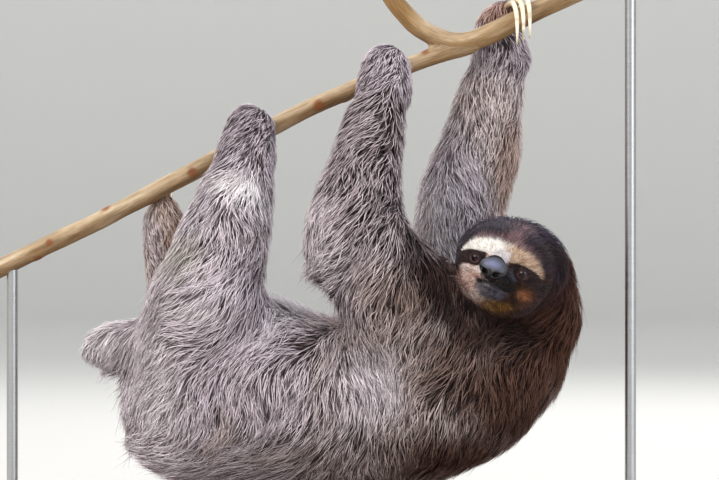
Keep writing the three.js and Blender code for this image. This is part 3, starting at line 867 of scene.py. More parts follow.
def base_skin():
    """The whole body's skin under its coat, before the head is modelled."""
    shell, tree, owners = flesh_shell()
    mesh = remeshed(shell, SKIN_MESH)
    edges = edges_of(mesh)
    points = spread(points_of(mesh), edges, 8)
    set_points(mesh, points)
    found = nearest_owner(tree, owners, points)
    depth = np.array([COAT[FLESH[k]][0] for k in found])
    depth *= ease(1.0, 9.0, from_branch(points))
    depth = spread(depth, edges, 8)
    set_points(mesh, points - normals_of(mesh) * np.maximum(depth - 2.4, 0.0)[:, None])
    mesh = remeshed(mesh, SKIN_MESH)
    set_points(mesh, spread(points_of(mesh), edges_of(mesh), 5))
    return mesh, tree, owners


def near_feature(points, face_reach):
    """Which points lie by the eyes, the nose or the mouth, where the skin needs a finer mesh."""
    local = into_head(points)
    by_eye = np.minimum(*[np.linalg.norm(local - eye_middle(s), axis=1) for s in (-1, 1)])
    by_mouth = np.hypot(abs(local[:, 1] + 13.5) / 0.6, np.maximum(abs(local[:, 0]) - 19.0, 0.0))
    return (by_eye < face_reach) | ((by_mouth < face_reach) & (local[:, 2] > 24.0))


def bring_to_head(mesh):
    """Moves the skin of the head to the head's own form."""
    points = points_of(mesh)
    share = head_share(points)
    chosen = share > 0.0
    target = out_of_head(onto_head(into_head(points[chosen])))
    points[chosen] += (target - points[chosen]) * share[chosen][:, None]
    set_points(mesh, points)


def modelled_skin():
    """The skin with the head brought to its own form."""
    mesh, tree, owners = base_skin()
    bm = bmesh.new()
    bm.from_mesh(mesh)
    refine(bm, lambda p: head_share(p) > 0.02)
    refine(bm, lambda p: (head_share(p) > 0.5) & (into_head(p)[:, 2] > -6.0))
    bm.to_mesh(mesh)
    bring_to_head(mesh)
    bm.clear()
    bm.from_mesh(mesh)
    refine(bm, lambda p: near_feature(p, 13.0))
    refine(bm, lambda p: near_feature(p, 9.0) & (into_head(p)[:, 2] > 26.0))
    bmesh.ops.triangulate(bm, faces=[f for f in bm.faces if len(f.verts) > 4])
    bm.to_mesh(mesh)
    bm.free()
    bring_to_head(mesh)
    return mesh, tree, owners


def head_lie(local):
    """The way the hair lies on the head, in its frame: away from the nose, then parted and combed down."""
    away = unit(local - np.array([0.0, -7.0, 50.0]))
    x, y = local[:, 0], local[:, 1] + 4.0
    out = np.maximum(np.hypot(x, y), 6.0)
    side = x / (abs(x) + 5.0)
    combed = np.stack([side * y / out, -side * x / out, np.full(len(x), -0.25)], 1)
    share = 0.75 * ease(0.95, 1.4, face_place(local)) * mix(1.0, 0.3, ease(8.0, 26.0, local[:, 1]))
    return unit(mix(away, combed, share))


def round_the_head(points):
    """Down the outer side of the head and in under the chin, and how strongly the hair follows that."""
    right, up = points[:, 0] - HEAD_AT[0], points[:, 2] - HEAD_AT[2]
    out = np.maximum(np.hypot(right, up), 1.0)
    turn = np.stack([up / out, np.full(len(out), -0.1), -right / out], 1)
    below = (0.92 * right - 0.40 * up) / out
    return turn, 0.85 * ease(98.0, 66.0, out) * ease(0.0, 0.55, below)


def lie_field(points, normals, found, share):
    """The way the hair lies at each point, along the skin."""
    table = unit([COAT[name][4] for name in FLESH])
    guide = table[found]
    for centre, reach, way, pull in SWEEPS:
        guide = mix(guide, unit(way), pull * ease(1.25, 0.4, away_from(points, centre, reach)))
    turn, strength = round_the_head(points)
    guide = mix(guide, turn, strength)
    swirl = 0.9 * noise_at(points, 0.019) + 0.75 * noise_at(points, 0.05)
    swirl = (swirl * (1.0 - strength))[:, None]
    guide = guide * np.cos(swirl) + np.cross(normals, guide) * np.sin(swirl)
    down = np.array([-0.12, 0.06, -1.0])
    behind = ease(1.1, 1.8, face_place(into_head(points)))[:, None]
    on_head = unit(head_lie(into_head(points)) @ HEAD_AXES.T + down * 0.6 * behind)
    guide = mix(guide, on_head, share)
    return guide - normals * np.sum(guide * normals, 1)[:, None]


def unwrap(mesh):
    """Lays the skin out flat in a map for the coat's baked colours."""
    holder = put_in_scene("unwrap_holder", mesh)
    bpy.context.view_layer.objects.active = holder
    holder.select_set(True)
    mesh.uv_layers.new(name="OFBake")
    bpy.ops.object.mode_set(mode="EDIT")
    bpy.ops.mesh.select_all(action="SELECT")
    bpy.ops.uv.smart_project(angle_limit=math.radians(66.0), island_margin=0.002)
    bpy.ops.object.mode_set(mode="OBJECT")
    bpy.data.objects.remove(holder)


def skin_material():
    """Bare skin with fine short underfur: matte, and uneven where the hair roots stand."""
    material, tree, shader = new_material(
        "skin_with_underfur", Roughness=0.82, Sheen_Weight=0.12, Specular_IOR_Level=0.3)
    place = add_node(tree, "ShaderNodeTexCoord").outputs["Object"]
    tone = add_node(tree, "ShaderNodeAttribute", attribute_name="tone").outputs["Color"]
    # Hair roots about 0.9 mm apart.
    roots = add_node(tree, "ShaderNodeTexNoise", {"Vector": place, "Scale": 1100.0, "Detail": 3.0})
    # Patches of thicker underfur about 8 mm across.
    patches = add_node(tree, "ShaderNodeTexNoise", {"Vector": place, "Scale": 120.0, "Detail": 2.0})
    both = add_node(
        tree, "ShaderNodeMath", {0: roots.outputs["Fac"], 1: patches.outputs["Fac"]}, operation="ADD")
    light = add_node(tree, "ShaderNodeMapRange", {
        "Value": both.outputs[0], "From Min": 0.6, "From Max": 1.4, "To Min": 0.72, "To Max": 1.2})
    shade = add_node(
        tree, "ShaderNodeVectorMath", {0: tone, "Scale": light.outputs["Result"]}, operation="SCALE")
    bump = add_node(tree, "ShaderNodeBump", {
        "Height": roots.outputs["Fac"], "Strength": 0.5, "Distance": 0.0006})
    finish_surface(tree, shader, shade.outputs[0], bump)
    return material


def bare_places(points, local, share, eyes):
    """1 where no hair grows: the lids' edges, the nose, the lips, and where the paws hold the branch."""
    bare = ease(1.30, 1.10, eyes) * share
    pad = ellipsoid(local, (0.0, 0.6, 46.0), (11.0, 8.0, 9.0))
    bare = np.maximum(bare, ease(1.0, -0.4, pad) * share)
    mouth = ease(1.8, 1.0, abs(local[:, 1] - mouth_height(local[:, 0]))) * ease(21.0, 18.0, abs(local[:, 0]))
    bare = np.maximum(bare, mouth * ease(24.0, 30.0, local[:, 2]) * share)
    return np.maximum(bare, ease(2.2, 1.0, from_branch(points)))


def short_hair(local, place, eyes):
    """The length of the face's hair: least by the nose and the eyes, longer at the face's edge."""
    length = mix(8.0, 3.2, ease(1.0, 0.35, place)) * mix(0.6, 1.0, ease(1.2, 2.6, eyes))
    length *= mix(1.0, 1.5, ease(14.0, 22.0, local[:, 1]))
    by_near_cheek = ease(-14.0, -26.0, local[:, 0]) * ease(8.0, -4.0, local[:, 1])
    return mix(length, mix(12.5, 6.5, by_near_cheek), ease(0.80, 1.04, place))


def coat_rows(found, edges, points, local, share, eyes):
    """The coat's depth, length, width and number of locks at each point, and how far it is face."""
    usual = np.array([COAT[name][:4] for name in FLESH], float)
    rows = spread(usual[found] * [1.0, settings().coat.length, 1.0, 1.0], edges, 10)
    for centre, reach, gain in TALLER:
        rows[:, 0] += gain * ease(1.2, 0.5, away_from(points, centre, reach))
    place = face_place(local)
    face = ease(1.10, 0.96, place) * share
    edge = ease(0.80, 1.04, place)
    margin = share * ease(1.65, 1.05, place)
    rows[:, 0] = mix(rows[:, 0], head_depth(local), margin)
    rows[:, 2] = mix(rows[:, 2], 0.78, margin)
    rows[:, 3] = mix(rows[:, 3], 78.0, margin)
    shortened = rows[:, 1] * mix(1.0, 0.5, share * ease(1.45, 1.0, place))
    rows[:, 1] = mix(shortened, short_hair(local, place, eyes), face)
    rows[:, 2] = mix(rows[:, 2], mix(0.60, 0.76, edge), face)
    rows[:, 3] = mix(rows[:, 3], mix(390.0, 150.0, edge), face)
    return rows, face


def skin_colours(tone, local, face, eyes, share):
    """The skin's own colours: its markings, darkened as painted shade where long hair covers them, and the
    bare lids.
    """
    # Painted shade: under the long coat the skin takes its markings' shadow tone.
    level = 0.14 + 0.76 * face * ease(1.0, 0.82, face_place(local))
    colours = mix(tone[:, 0], tone[:, 1], level)
    rim = ease(1.22, 1.02, eyes) * ease(0.9, 1.0, eyes) * share
    below = local[:, 1] < EYE_ABOVE - 0.5
    lid = np.where(below[:, None], np.array(linear("#553b3d")), np.array(linear("#241718")))
    return mix(colours, lid, rim)


def make_skin():
    """The one closed skin that stands for all the solids of flesh."""
    mesh, tree, owners = modelled_skin()
    unwrap(mesh)
    points, edges = points_of(mesh), edges_of(mesh)
    normals = normals_of(mesh)
    found = nearest_owner(tree, owners, points)
    share = ease(0.25, 0.9, head_share(points))
    local = into_head(points)
    body = np.stack([TONE[NODE_TONE[name]] for name in FLESH])[found]
    body = patched(points, spread(body, edges, 14)) * np.array(settings().coat.tint)
    tone = mix(body, head_tones(local), share[:, None, None])
    lie = lie_field(points, normals, found, share)
    eyes = np.minimum(lid_place(local, -1)[0], lid_place(local, 1)[0])
    rows, face = coat_rows(found, edges, points, local, share, eyes)
    bare = bare_places(points, local, share, eyes)
    skin_data.update(
        mesh=mesh, bare=bare, points=points, normals=normals, edges=edges,
        lie=unit(spread(lie, edges, 10) + 1e-9), tone=tone, rows=rows, face=face, eyes=eyes, share=share,
        local=local)
    colour_attribute(mesh, "tone", skin_colours(tone, local, face, eyes, share))
    return new_object("skin", mesh, skin_material(), "coat", *FLESH)


# ---- Coat ----


def sample_roots(rng, weights, count):
    """Even roots over the skin: each one's triangle and its place in it."""
    total = np.cumsum(weights)
    places = (np.arange(count) + rng.random(count)) / count * total[-1]
    chosen = np.minimum(np.searchsorted(total, places), len(weights) - 1)
    a, b = rng.random(count), rng.random(count)
    over = a + b > 1.0
    a, b = np.where(over, 1.0 - a, a), np.where(over, 1.0 - b, b)
    return chosen, np.stack([1.0 - a - b, a, b], 1)


def at_roots(values, corners, shares):
    """Values of the skin's points at places inside its triangles."""
    return np.einsum("ij,ij...->i...", shares, values[corners])


def lock_paths(tree, corner_lie, roots, normals, lie, length, height, stand, shares, twist):
    """The middle line of each lock: it follows the skin at a rising height, or stands free of it."""
    count = len(roots)
    paths = np.empty((count, len(shares), 3))
    paths[:, 0] = roots - normals * 0.7
    here, heading = roots.copy(), lie.copy()
    side = np.cross(normals, lie)
    for step in range(1, len(shares)):
        aim = unit(heading + side * twist[:, step - 1][:, None])
        ahead = (here + aim * (length * (shares[step] - shares[step - 1]))[:, None]) * MM
        for i in range(count):
            here[i], normals[i], index, _ = tree.find_nearest(ahead[i])
            heading[i] = corner_lie[index]
        here /= MM
        paths[:, step] = here + normals * (height * shares[step] ** 0.7)[:, None]
    shares = np.array(shares)
    free = roots[:, None] + (
        unit(lie + stand["lift"][:, None] * stand["normal"])[:, None]
        * length[:, None, None] * shares[None, :, None])
    free[:, :, 2] -= length[:, None] * 0.10 * shares[None] ** 2
    return mix(paths, free, stand["share"][:, None] * shares[None] ** 0.5)


def gathered_locks(paths, leaders, pull):
    """Draws the tips of neighbouring locks together."""
    steps = paths.shape[1]
    share = pull[:, None] * np.linspace(0.0, 1.0, steps)[None] ** 1.4
    return mix(paths, paths[leaders], share)


def leaders_of(rng, roots, each):
    """For each root, the root of the lock that its neighbourhood is drawn to."""
    chosen = rng.permutation(len(roots))[: max(1, len(roots) // each)]
    tree = KDTree(len(chosen))
    for i in chosen:
        tree.insert(roots[i], int(i))
    tree.balance()
    return np.array([tree.find(root)[1] for root in roots])


# Half the width, and the height, of a lock's patch on the map that its colours are baked to.
PATCH_ACROSS = 0.0013
PATCH_DOWN = 0.0028


def lock_mesh(name, paths, normals, width, colours, spots):
    """Closed three-sided locks, pointed at both ends, as one mesh with its colours and its baking map.

    Each lock is a small patch of the map, at its root's place on the unwrapped skin.
    """
    count, rings = paths.shape[0], paths.shape[1] - 2
    along = np.empty_like(paths)
    along[:, 1:-1] = paths[:, 2:] - paths[:, :-2]
    along[:, 0] = paths[:, 1] - paths[:, 0]
    along[:, -1] = paths[:, -1] - paths[:, -2]
    along = unit(along + 1e-9)
    side = unit(np.cross(along, normals[:, None]) + 1e-9)
    above = np.cross(side, along)
    taper = (0.0, 1.0, 0.78, 0.0) if rings == 2 else (0.0, 1.0, 0.0)
    total = rings * 3 + 2
    points = np.empty((count, total, 3))
    maps = np.empty((count, total, 2))
    strand = np.empty((count, total, 3))
    shades = np.empty((count, total, 3))
    half = width * 0.5
    seed = np.arange(count) % 97
    corners = [(0.0, 0.0), *[(-1.0, -0.25), (1.0, -0.25), (0.0, 0.6)] * rings, (0.0, 0.0)]
    for at, (across, up) in enumerate(corners):
        ring = (at + 2) // 3
        down = ring / (rings + 1)
        reach = (half * taper[ring])[:, None]
        points[:, at] = paths[:, ring] + side[:, ring] * reach * across + above[:, ring] * reach * up
        maps[:, at] = spots + [across * PATCH_ACROSS, (down - 0.5) * PATCH_DOWN]
        strand[:, at] = np.stack([np.full(count, across), np.full(count, down), seed], 1)
        shades[:, at] = colours[:, ring]
    last = total - 1
    faces = [(0, 1 + (corner + 1) % 3, 1 + corner) for corner in range(3)]
    for ring in range(rings - 1):
        for corner in range(3):
            a, b = 1 + ring * 3 + corner, 1 + ring * 3 + (corner + 1) % 3
            faces.append((a, b, b + 3, a + 3))
    faces += [(last - 3 + corner, last - 3 + (corner + 1) % 3, last) for corner in range(3)]
    sizes = np.array([len(f) for f in faces])
    flat = np.concatenate([np.array(f) for f in faces])
    loops = (flat[None] + (np.arange(count) * total)[:, None]).ravel()
    starts = np.concatenate([[0], np.cumsum(sizes)[:-1]])
    mesh = bpy.data.meshes.new(name)
    mesh.vertices.add(count * total)
    mesh.loops.add(len(loops))
    mesh.polygons.add(count * len(faces))
    mesh.vertices.foreach_set("co", (points * MM).ravel())
    mesh.loops.foreach_set("vertex_index", loops.astype(np.int32))
    mesh.polygons.foreach_set(
        "loop_start", (starts[None] + (np.arange(count) * len(flat))[:, None]).ravel().astype(np.int32))
    layer = mesh.uv_layers.new(name="OFBake")
    layer.data.foreach_set("uv", maps.reshape(-1, 2)[loops].ravel().astype(np.float32))
    mesh.update(calc_edges=True)
    colour_attribute(mesh, "tone", shades.reshape(-1, 3))
    add_attribute(mesh, "strand", "FLOAT_VECTOR", strand.reshape(-1, 3))
    mesh.validate()
    return mesh


def coat_material():
    """Coarse long hair: dry, with a soft sheen, each lock streaked by its own strands."""
    material, tree, shader = new_material(
        "long_coarse_hair", Roughness=0.60, Sheen_Weight=0.03, Sheen_Roughness=0.4, Specular_IOR_Level=0.19)
    tone = add_node(tree, "ShaderNodeAttribute", attribute_name="tone").outputs["Color"]
    strand = add_node(tree, "ShaderNodeAttribute", attribute_name="strand").outputs["Vector"]
    # About six strands lie side by side in a lock, each as long as the lock.
    spaced = add_node(tree, "ShaderNodeVectorMath", {0: strand, 1: (3.0, 1.6, 7.3)}, operation="MULTIPLY")
    strands = add_node(tree, "ShaderNodeTexNoise", {
        "Vector": spaced.outputs[0], "Scale": 1.0, "Detail": 2.0})
    light = add_node(tree, "ShaderNodeMapRange", {
        "Value": strands.outputs["Fac"], "From Min": 0.3, "From Max": 0.7, "To Min": 0.74, "To Max": 1.24})
    shade = add_node(
        tree, "ShaderNodeVectorMath", {0: tone, "Scale": light.outputs["Result"]}, operation="SCALE")
    bump = add_node(tree, "ShaderNodeBump", {
        "Height": strands.outputs["Fac"], "Strength": 0.35, "Distance": 0.0003})
    finish_surface(tree, shader, shade.outputs[0], bump)
    return material


# Where the coat's fringe stands away from the body: middle, reach and strength.
FRINGES = [
    ((-182, 0, 148), (34, 60, 16), 0.7),
    ((-150, 0, 82), (60, 90, 34), 0.55),
    ((-40, 0, 66), (120, 90, 22), 0.4),
    ((70, 0, 62), (100, 90, 22), 0.3),
    ((4, -70, 250), (26, 50, 34), 0.75),
    ((88, 60, 275), (20, 40, 34), 0.75),
    ((-125, -40, 235), (22, 60, 60), 0.3),
]


def fringe_at(points):
    """How far the hair at points stands away from the body."""
    found = np.zeros(len(points))
    for centre, reach, strength in FRINGES:
        found = np.maximum(found, strength * ease(1.3, 0.5, away_from(points, centre, reach)))
    return found


def coat_region(points, share):
    """Which piece of the coat each root belongs to, by number."""
    x, y, z = points.T
    region = np.where(x < -60, 0, np.where(x < 60, 1, 2)) * 2 + (y > 0)
    region = np.where((x > -5) & (x < 90) & (z > 205) & (y < 20), 6, region)
    region = np.where((x > 80) & (z > 235) & (y > -5), 7, region)
    region = np.where((x < -20) & (z > 200), np.where(y < 0, 8, 9), region)
    return np.where(share > 0.35, 10, region)


REGION_NAMES = (
    "coat_rump_left", "coat_rump_right", "coat_belly_left", "coat_belly_right", "coat_chest_left",
    "coat_chest_right", "coat_arm_left", "coat_arm_right", "coat_leg_left", "coat_leg_right", "coat_hood",
)

# How many neighbouring locks are drawn together, in the long coat and on the face.
LOCKS_TOGETHER = 12
FACE_LOCKS_TOGETHER = 5

# The long coat's layers: share of the locks, height and its range, shade and its range, width, how much
# the locks stray sideways, and length. The last layer is the pale coarse guard hair.
LAYERS = np.array([
    (0.26, 0.26, 0.22, 0.14, 0.18, 1.32, 0.13, 0.90),
    (0.42, 0.46, 0.30, 0.80, 0.46, 0.86, 0.18, 1.00),
    (0.32, 0.76, 0.28, 1.92, 0.32, 0.63, 0.30, 1.20),
])


def shaded(tone, level):
    """A colour between a lock's shadow, its own tone and its palest strands; level runs from 0 to 2."""
    dark = mix(tone[:, 0], tone[:, 1], np.clip(level, 0.0, 1.0))
    return mix(dark, tone[:, 2], np.clip(level - 1.0, 0.0, 1.0))


def rooted(data, weight, rng, count, corners, loops, uv):
    """Values of the skin at count even roots, chosen by each triangle's weight."""
    face, shares = sample_roots(rng, weight, count)
    spot = corners[face]
    found = {name: at_roots(data[name], spot, shares)
             for name in ("points", "normals", "lie", "tone", "rows", "local", "share", "eyes")}
    found["normals"] = unit(found["normals"])
    found["lie"] = unit(found["lie"])
    found["spots"] = np.einsum("ij,ijk->ik", shares, uv[loops[face]])
    return found


def grow_long_coat(ground, rng, tree, corner_lie):
    """Paths, widths and colours of the long coat's locks."""
    roots, rows, count = ground["points"], ground["rows"], len(ground["points"])
    layer = LAYERS[np.searchsorted(np.cumsum(LAYERS[:, 0]), rng.random(count) * 0.9999)]
    jitter = rng.normal(0.0, 1.0, (count, 5))
    fringe = fringe_at(roots)
    stray = (rng.random(count) < 0.03) & (ground["share"] < 0.3)
    length = rows[:, 1] * np.exp(0.15 * jitter[:, 0]) * (1.0 + 0.35 * fringe + 0.15 * stray) * layer[:, 7]
    width = 0.86 * rows[:, 2] * layer[:, 5] * np.exp(0.18 * jitter[:, 1]) * np.where(stray, 0.7, 1.0)
    height = rows[:, 0] * (layer[:, 1] + layer[:, 2] * rng.random(count))
    stand = {
        "lift": (0.22 + 0.2 * abs(jitter[:, 2])) * (1.0 + fringe), "normal": ground["normals"].copy(),
        "share": np.clip(0.85 * fringe * rng.random(count) + 0.4 * stray, 0.0, 0.9),
    }
    twist = jitter[:, 3:4] * layer[:, 6:7] + rng.normal(0.0, 0.10, (count, 3))
    paths = lock_paths(
        tree, corner_lie, roots, ground["normals"].copy(), ground["lie"], length, height, stand,
        (0.0, 0.26, 0.64, 1.0), twist)
    leaders = leaders_of(rng, roots, LOCKS_TOGETHER)
    pull = np.where(stray, 0.0, 0.5 * (0.6 + 0.4 * rng.random(count)))
    pull = pull * np.where(layer[:, 3] > 1.5, 0.5, 1.0)
    paths = gathered_locks(paths, leaders, pull * (1.0 - 0.4 * fringe))
    group = rng.normal(0.0, 1.0, count)[leaders]
    level = layer[:, 3] + layer[:, 4] * jitter[:, 4] + 0.24 * group + 0.45 * noise_at(roots[leaders], 0.018)
    # Painted shade: each lock is darker towards its root, deep in the coat.
    colours = [shaded(ground["tone"], np.clip(level * s, 0.0, 2.0)) for s in (0.35, 0.82, 1.0, 1.1)]
    return paths, width, np.stack(colours, 1)


def grow_face(ground, rng, tree, corner_lie):
    """Paths, widths and colours of the short hair of the face, which takes the colour where its tip lies."""
    roots, rows, count = ground["points"], ground["rows"], len(ground["points"])
    jitter = rng.normal(0.0, 1.0, (count, 4))
    length = rows[:, 1] * np.exp(0.16 * jitter[:, 0])
    height = 0.4 + (0.35 + 0.5 * rng.random(count)) * length / 4.0
    stand = {"lift": np.zeros(count), "normal": ground["normals"].copy(), "share": np.zeros(count)}
    twist = jitter[:, 1:2] * 0.14 + rng.normal(0.0, 0.08, (count, 2))
    paths = lock_paths(
        tree, corner_lie, roots, ground["normals"].copy(), ground["lie"], length, height, stand,
        (0.0, 0.45, 1.0), twist)
    leaders = leaders_of(rng, roots, FACE_LOCKS_TOGETHER)
    paths = gathered_locks(paths, leaders, np.full(count, 0.2))
    tone = head_tones(into_head(roots + (paths[:, 2] - roots) * 0.7))
    level = np.clip(1.0 + 0.5 * jitter[:, 2] + 0.9 * noise_at(roots, 0.26), 0.05, 2.0)
    # Painted shade: each short hair is darker towards its root.
    colours = [shaded(tone, np.clip(level * s, 0.0, 2.0)) for s in (0.55, 0.95, 1.1)]
    return paths, rows[:, 2] * np.exp(0.2 * jitter[:, 3]), np.stack(colours, 1)


def make_coat():
    """The face's short hair and the body's long coat, as closed locks in pieces."""
    data = skin_data
    rng = np.random.default_rng(SEED)
    corners, loops = triangles_of(data["mesh"])
    tree = BVHTree.FromPolygons(
        [tuple(p) for p in data["points"] * MM], [tuple(c) for c in corners.tolist()])
    corner_lie = unit(data["lie"][corners].sum(1) + 1e-9)
    uv = np.empty(len(data["mesh"].loops) * 2, np.float32)
    data["mesh"].uv_layers["OFBake"].data.foreach_get("uv", uv)
    uv = uv.reshape(-1, 2)
    a, b, c = (data["points"][corners[:, k]] for k in range(3))
    area = np.linalg.norm(np.cross(b - a, c - a), axis=1) / 200.0
    weights = area * data["rows"][corners, 3].mean(1) * (1.0 - data["bare"][corners].mean(1))
    is_face = data["face"][corners].mean(1) > 0.5
    material = coat_material()
    for grow, chosen in ((grow_face, is_face), (grow_long_coat, ~is_face)):
        weight = np.where(chosen, weights, 0.0)
        count = int(weight.sum() * settings().coat.fullness)
        ground = rooted(data, weight, rng, count, corners, loops, uv)
        root_normals = ground["normals"].copy()
        paths, width, colours = grow(ground, rng, tree, corner_lie)
        if grow is grow_face:
            groups = {"coat_face": np.arange(count)}
        else:
            region = coat_region(ground["points"], ground["share"])
            groups = {REGION_NAMES[k]: np.flatnonzero(region == k) for k in range(len(REGION_NAMES))}
        for name, members in groups.items():
            mesh = lock_mesh(name, paths[members], root_normals[members], width[members],
                             colours[members], ground["spots"][members])
            new_object(name, mesh, material, {"coat_face": "face", "coat_hood": "hood"}.get(name, "coat"))


# ---- Eyes ----


def eye_material():
    """A wet glass-like eyeball: a dark red-brown iris, a black pupil and a clear coat."""
    material, tree, shader = new_material(
        "wet_eyeball", Roughness=0.3, Specular_IOR_Level=0.1, Coat_Weight=0.7, Coat_Roughness=0.03,
        Coat_IOR=1.37)
    angle = add_node(tree, "ShaderNodeAttribute", attribute_name="from_gaze").outputs["Fac"]
    spoke = add_node(tree, "ShaderNodeAttribute", attribute_name="spoke").outputs["Vector"]
    # Fibres of the iris, about 0.15 mm apart at its edge.
    fibres = add_node(tree, "ShaderNodeTexNoise", {"Vector": spoke, "Scale": 9.0, "Detail": 3.0})
    ramp = add_node(tree, "ShaderNodeValToRGB", {"Fac": angle})
    stops = [
        (0.0, "#030202"), (0.33, "#040202"), (0.38, "#2a1518"), (0.54, settings().face.iris),
        (0.66, "#24110f"), (0.74, "#0a0404"), (0.84, "#1d1413"), (1.0, "#54453f")]
    set_stops(ramp, stops)
    light = add_node(tree, "ShaderNodeMapRange", {
        "Value": fibres.outputs["Fac"], "From Min": 0.3, "From Max": 0.7, "To Min": 0.6, "To Max": 1.4})
    shade = add_node(tree, "ShaderNodeVectorMath", {
        0: ramp.outputs["Color"], "Scale": light.outputs["Result"]}, operation="SCALE")
    finish_surface(tree, shader, shade.outputs[0])
    return material


# How far the cornea reaches from the gaze, in radians, and how high it rises.
CORNEA_REACH = 0.62
CORNEA_RISE = 0.5


def make_eyes():
    """Two eyeballs, each with a raised cornea."""
    material = eye_material()
    for name, side in (("left", 1), ("right", -1)):
        bm = bmesh.new()
        bmesh.ops.create_icosphere(bm, subdivisions=6, radius=EYEBALL)
        rays = np.array([v.co for v in bm.verts]) / EYEBALL
        angle = np.arccos(np.clip(rays @ gaze(side), -1.0, 1.0))
        rise = CORNEA_RISE * np.clip(1.0 - (angle / CORNEA_REACH) ** 2, 0.0, 1.0) ** 1.5
        placed = out_of_head(rays * (EYEBALL + rise)[:, None] + eye_middle(side))
        for vert, point in zip(bm.verts, placed):
            vert.co = point
        mesh = mesh_of(f"eyeball_{name}", bm)
        level, upright = across_gaze(side)
        round_gaze = np.stack([rays @ level, rays @ upright, np.zeros(len(rays))], 1)
        round_gaze /= np.maximum(np.linalg.norm(round_gaze, axis=1, keepdims=True), 1e-6)
        add_attribute(mesh, "from_gaze", "FLOAT", np.clip(angle / 0.95, 0.0, 1.0))
        add_attribute(mesh, "spoke", "FLOAT_VECTOR", round_gaze + [0, 0, 0.25] * angle[:, None])
        new_object(f"eyeball_{name}", mesh, material, "eye", f"eye_{name}")


# ---- Nose ----

# The nose pad in the head's frame, and its nostrils' place, half sizes and depth.
NOSE_MIDDLE = (0.0, -0.6, 46.0)
NOSE_RADII = (12.6, 11.0, 8.2)
NOSTRIL = {"aside": 5.0, "down": -4.6, "reach": (3.1, 2.1), "depth": 4.6}


def nose_material():
    """Damp bare slate-coloured skin with a fine pebbled grain."""
    material, tree, shader = new_material(
        "damp_nose_skin", Roughness=0.42, Coat_Weight=0.15, Coat_Roughness=0.2)
    place = add_node(tree, "ShaderNodeTexCoord").outputs["Object"]
    tone = add_node(tree, "ShaderNodeAttribute", attribute_name="tone").outputs["Color"]
    # Pebbles about 0.8 mm across.
    pebbles = add_node(tree, "ShaderNodeTexVoronoi", {"Vector": place, "Scale": 1250.0})
    cloud = add_node(tree, "ShaderNodeTexNoise", {"Vector": place, "Scale": 260.0, "Detail": 3.0})
    light = add_node(tree, "ShaderNodeMapRange", {
        "Value": cloud.outputs["Fac"], "From Min": 0.3, "From Max": 0.7, "To Min": 0.82, "To Max": 1.2})
    shade = add_node(
        tree, "ShaderNodeVectorMath", {0: tone, "Scale": light.outputs["Result"]}, operation="SCALE")
    bump = add_node(tree, "ShaderNodeBump", {
        "Height": pebbles.outputs["Distance"], "Strength": 0.35, "Distance": 0.00025})
    bump.invert = True
    finish_surface(tree, shader, shade.outputs[0], bump)
    return material


def make_nose():
    """The bare nose pad, with comma-shaped nostrils and a shallow cleft."""
    bm = bmesh.new()
    bmesh.ops.create_icosphere(bm, subdivisions=6, radius=1.0)
    rays = np.array([v.co for v in bm.verts])
    full = np.sign(rays) * abs(rays) ** [0.92, 0.92, 0.78]
    x, y, z = (full * NOSE_RADII).T
    front = ease(-1.0, 4.0, z)
    narrow = mix(1.0, 0.74, ease(-1.0, -11.0, y)) * mix(1.0, 0.72, ease(1.0, 10.5, y))
    x = x * narrow
    a = abs(x)
    z = z - (0.50 * np.maximum(y + 1.0, 0.0) + 0.22 * np.maximum(-y - 5.0, 0.0)) * front
    aside, down = NOSTRIL["aside"], NOSTRIL["down"]
    across = (a - aside) * 0.90 + (y - down) * 0.44
    up = (y - down) * 0.90 - (a - aside) * 0.44
    pit = np.hypot(across / NOSTRIL["reach"][0], up / NOSTRIL["reach"][1])
    wing = np.exp(-(((pit - 1.55) / 0.42) ** 2)) * front
    slit_place = np.hypot((a - aside - 3.2) / 2.6, (y - down - 1.9) / 0.9)
    slit = np.exp(-(slit_place ** 2)) * front
    cleft = np.exp(-((x / 0.8) ** 2)) * ease(1.0, -4.0, y) * front
    depth = NOSTRIL["depth"] * ease(1.12, 0.45, pit) * front
    z = z - depth + 0.45 * wing - 0.9 * slit - 0.8 * cleft
    placed = out_of_head(np.stack([x, y, z], 1) + NOSE_MIDDLE)
    for vert, point in zip(bm.verts, placed):
        vert.co = point
    mesh = mesh_of("nose_pad", bm)
    # Painted shade in the nostrils and their slits.
    dark = np.maximum(ease(1.5, 0.85, pit) * front, 0.5 * slit)
    # Painted shade on the pad's underside.
    low = (ease(3.5, -2.5, y) * front + (1.0 - front) * ease(6.0, 0.0, y))[:, None]
    # Painted highlight and sky reflection on the pad's top, in the nose setting's colour.
    painted_highlight = ease(1.3, 0.4, np.hypot((x + 0.5) / 8.4, (y - 2.0) / 5.4))[:, None]
    colours = mix(np.array(linear("#292a35")), np.array(settings().face.nose), painted_highlight)
    colours = mix(colours, np.array(linear("#151115")), low)
    colours = mix(colours, np.array(linear("#0a0708")), dark)
    colour_attribute(mesh, "tone", colours)
    new_object("nose_pad", mesh, nose_material(), "nose", "nose")


# ---- Claws ----


def stem_place(line, x):
    """The middle and heading of a stem where it passes x."""
    i = int(np.searchsorted(line[:, 0], x))
    before, after = line[i - 1], line[i]
    share = (x - before[0]) / (after[0] - before[0])
    return (before + (after - before) * share)[:3], unit((after - before)[:3])


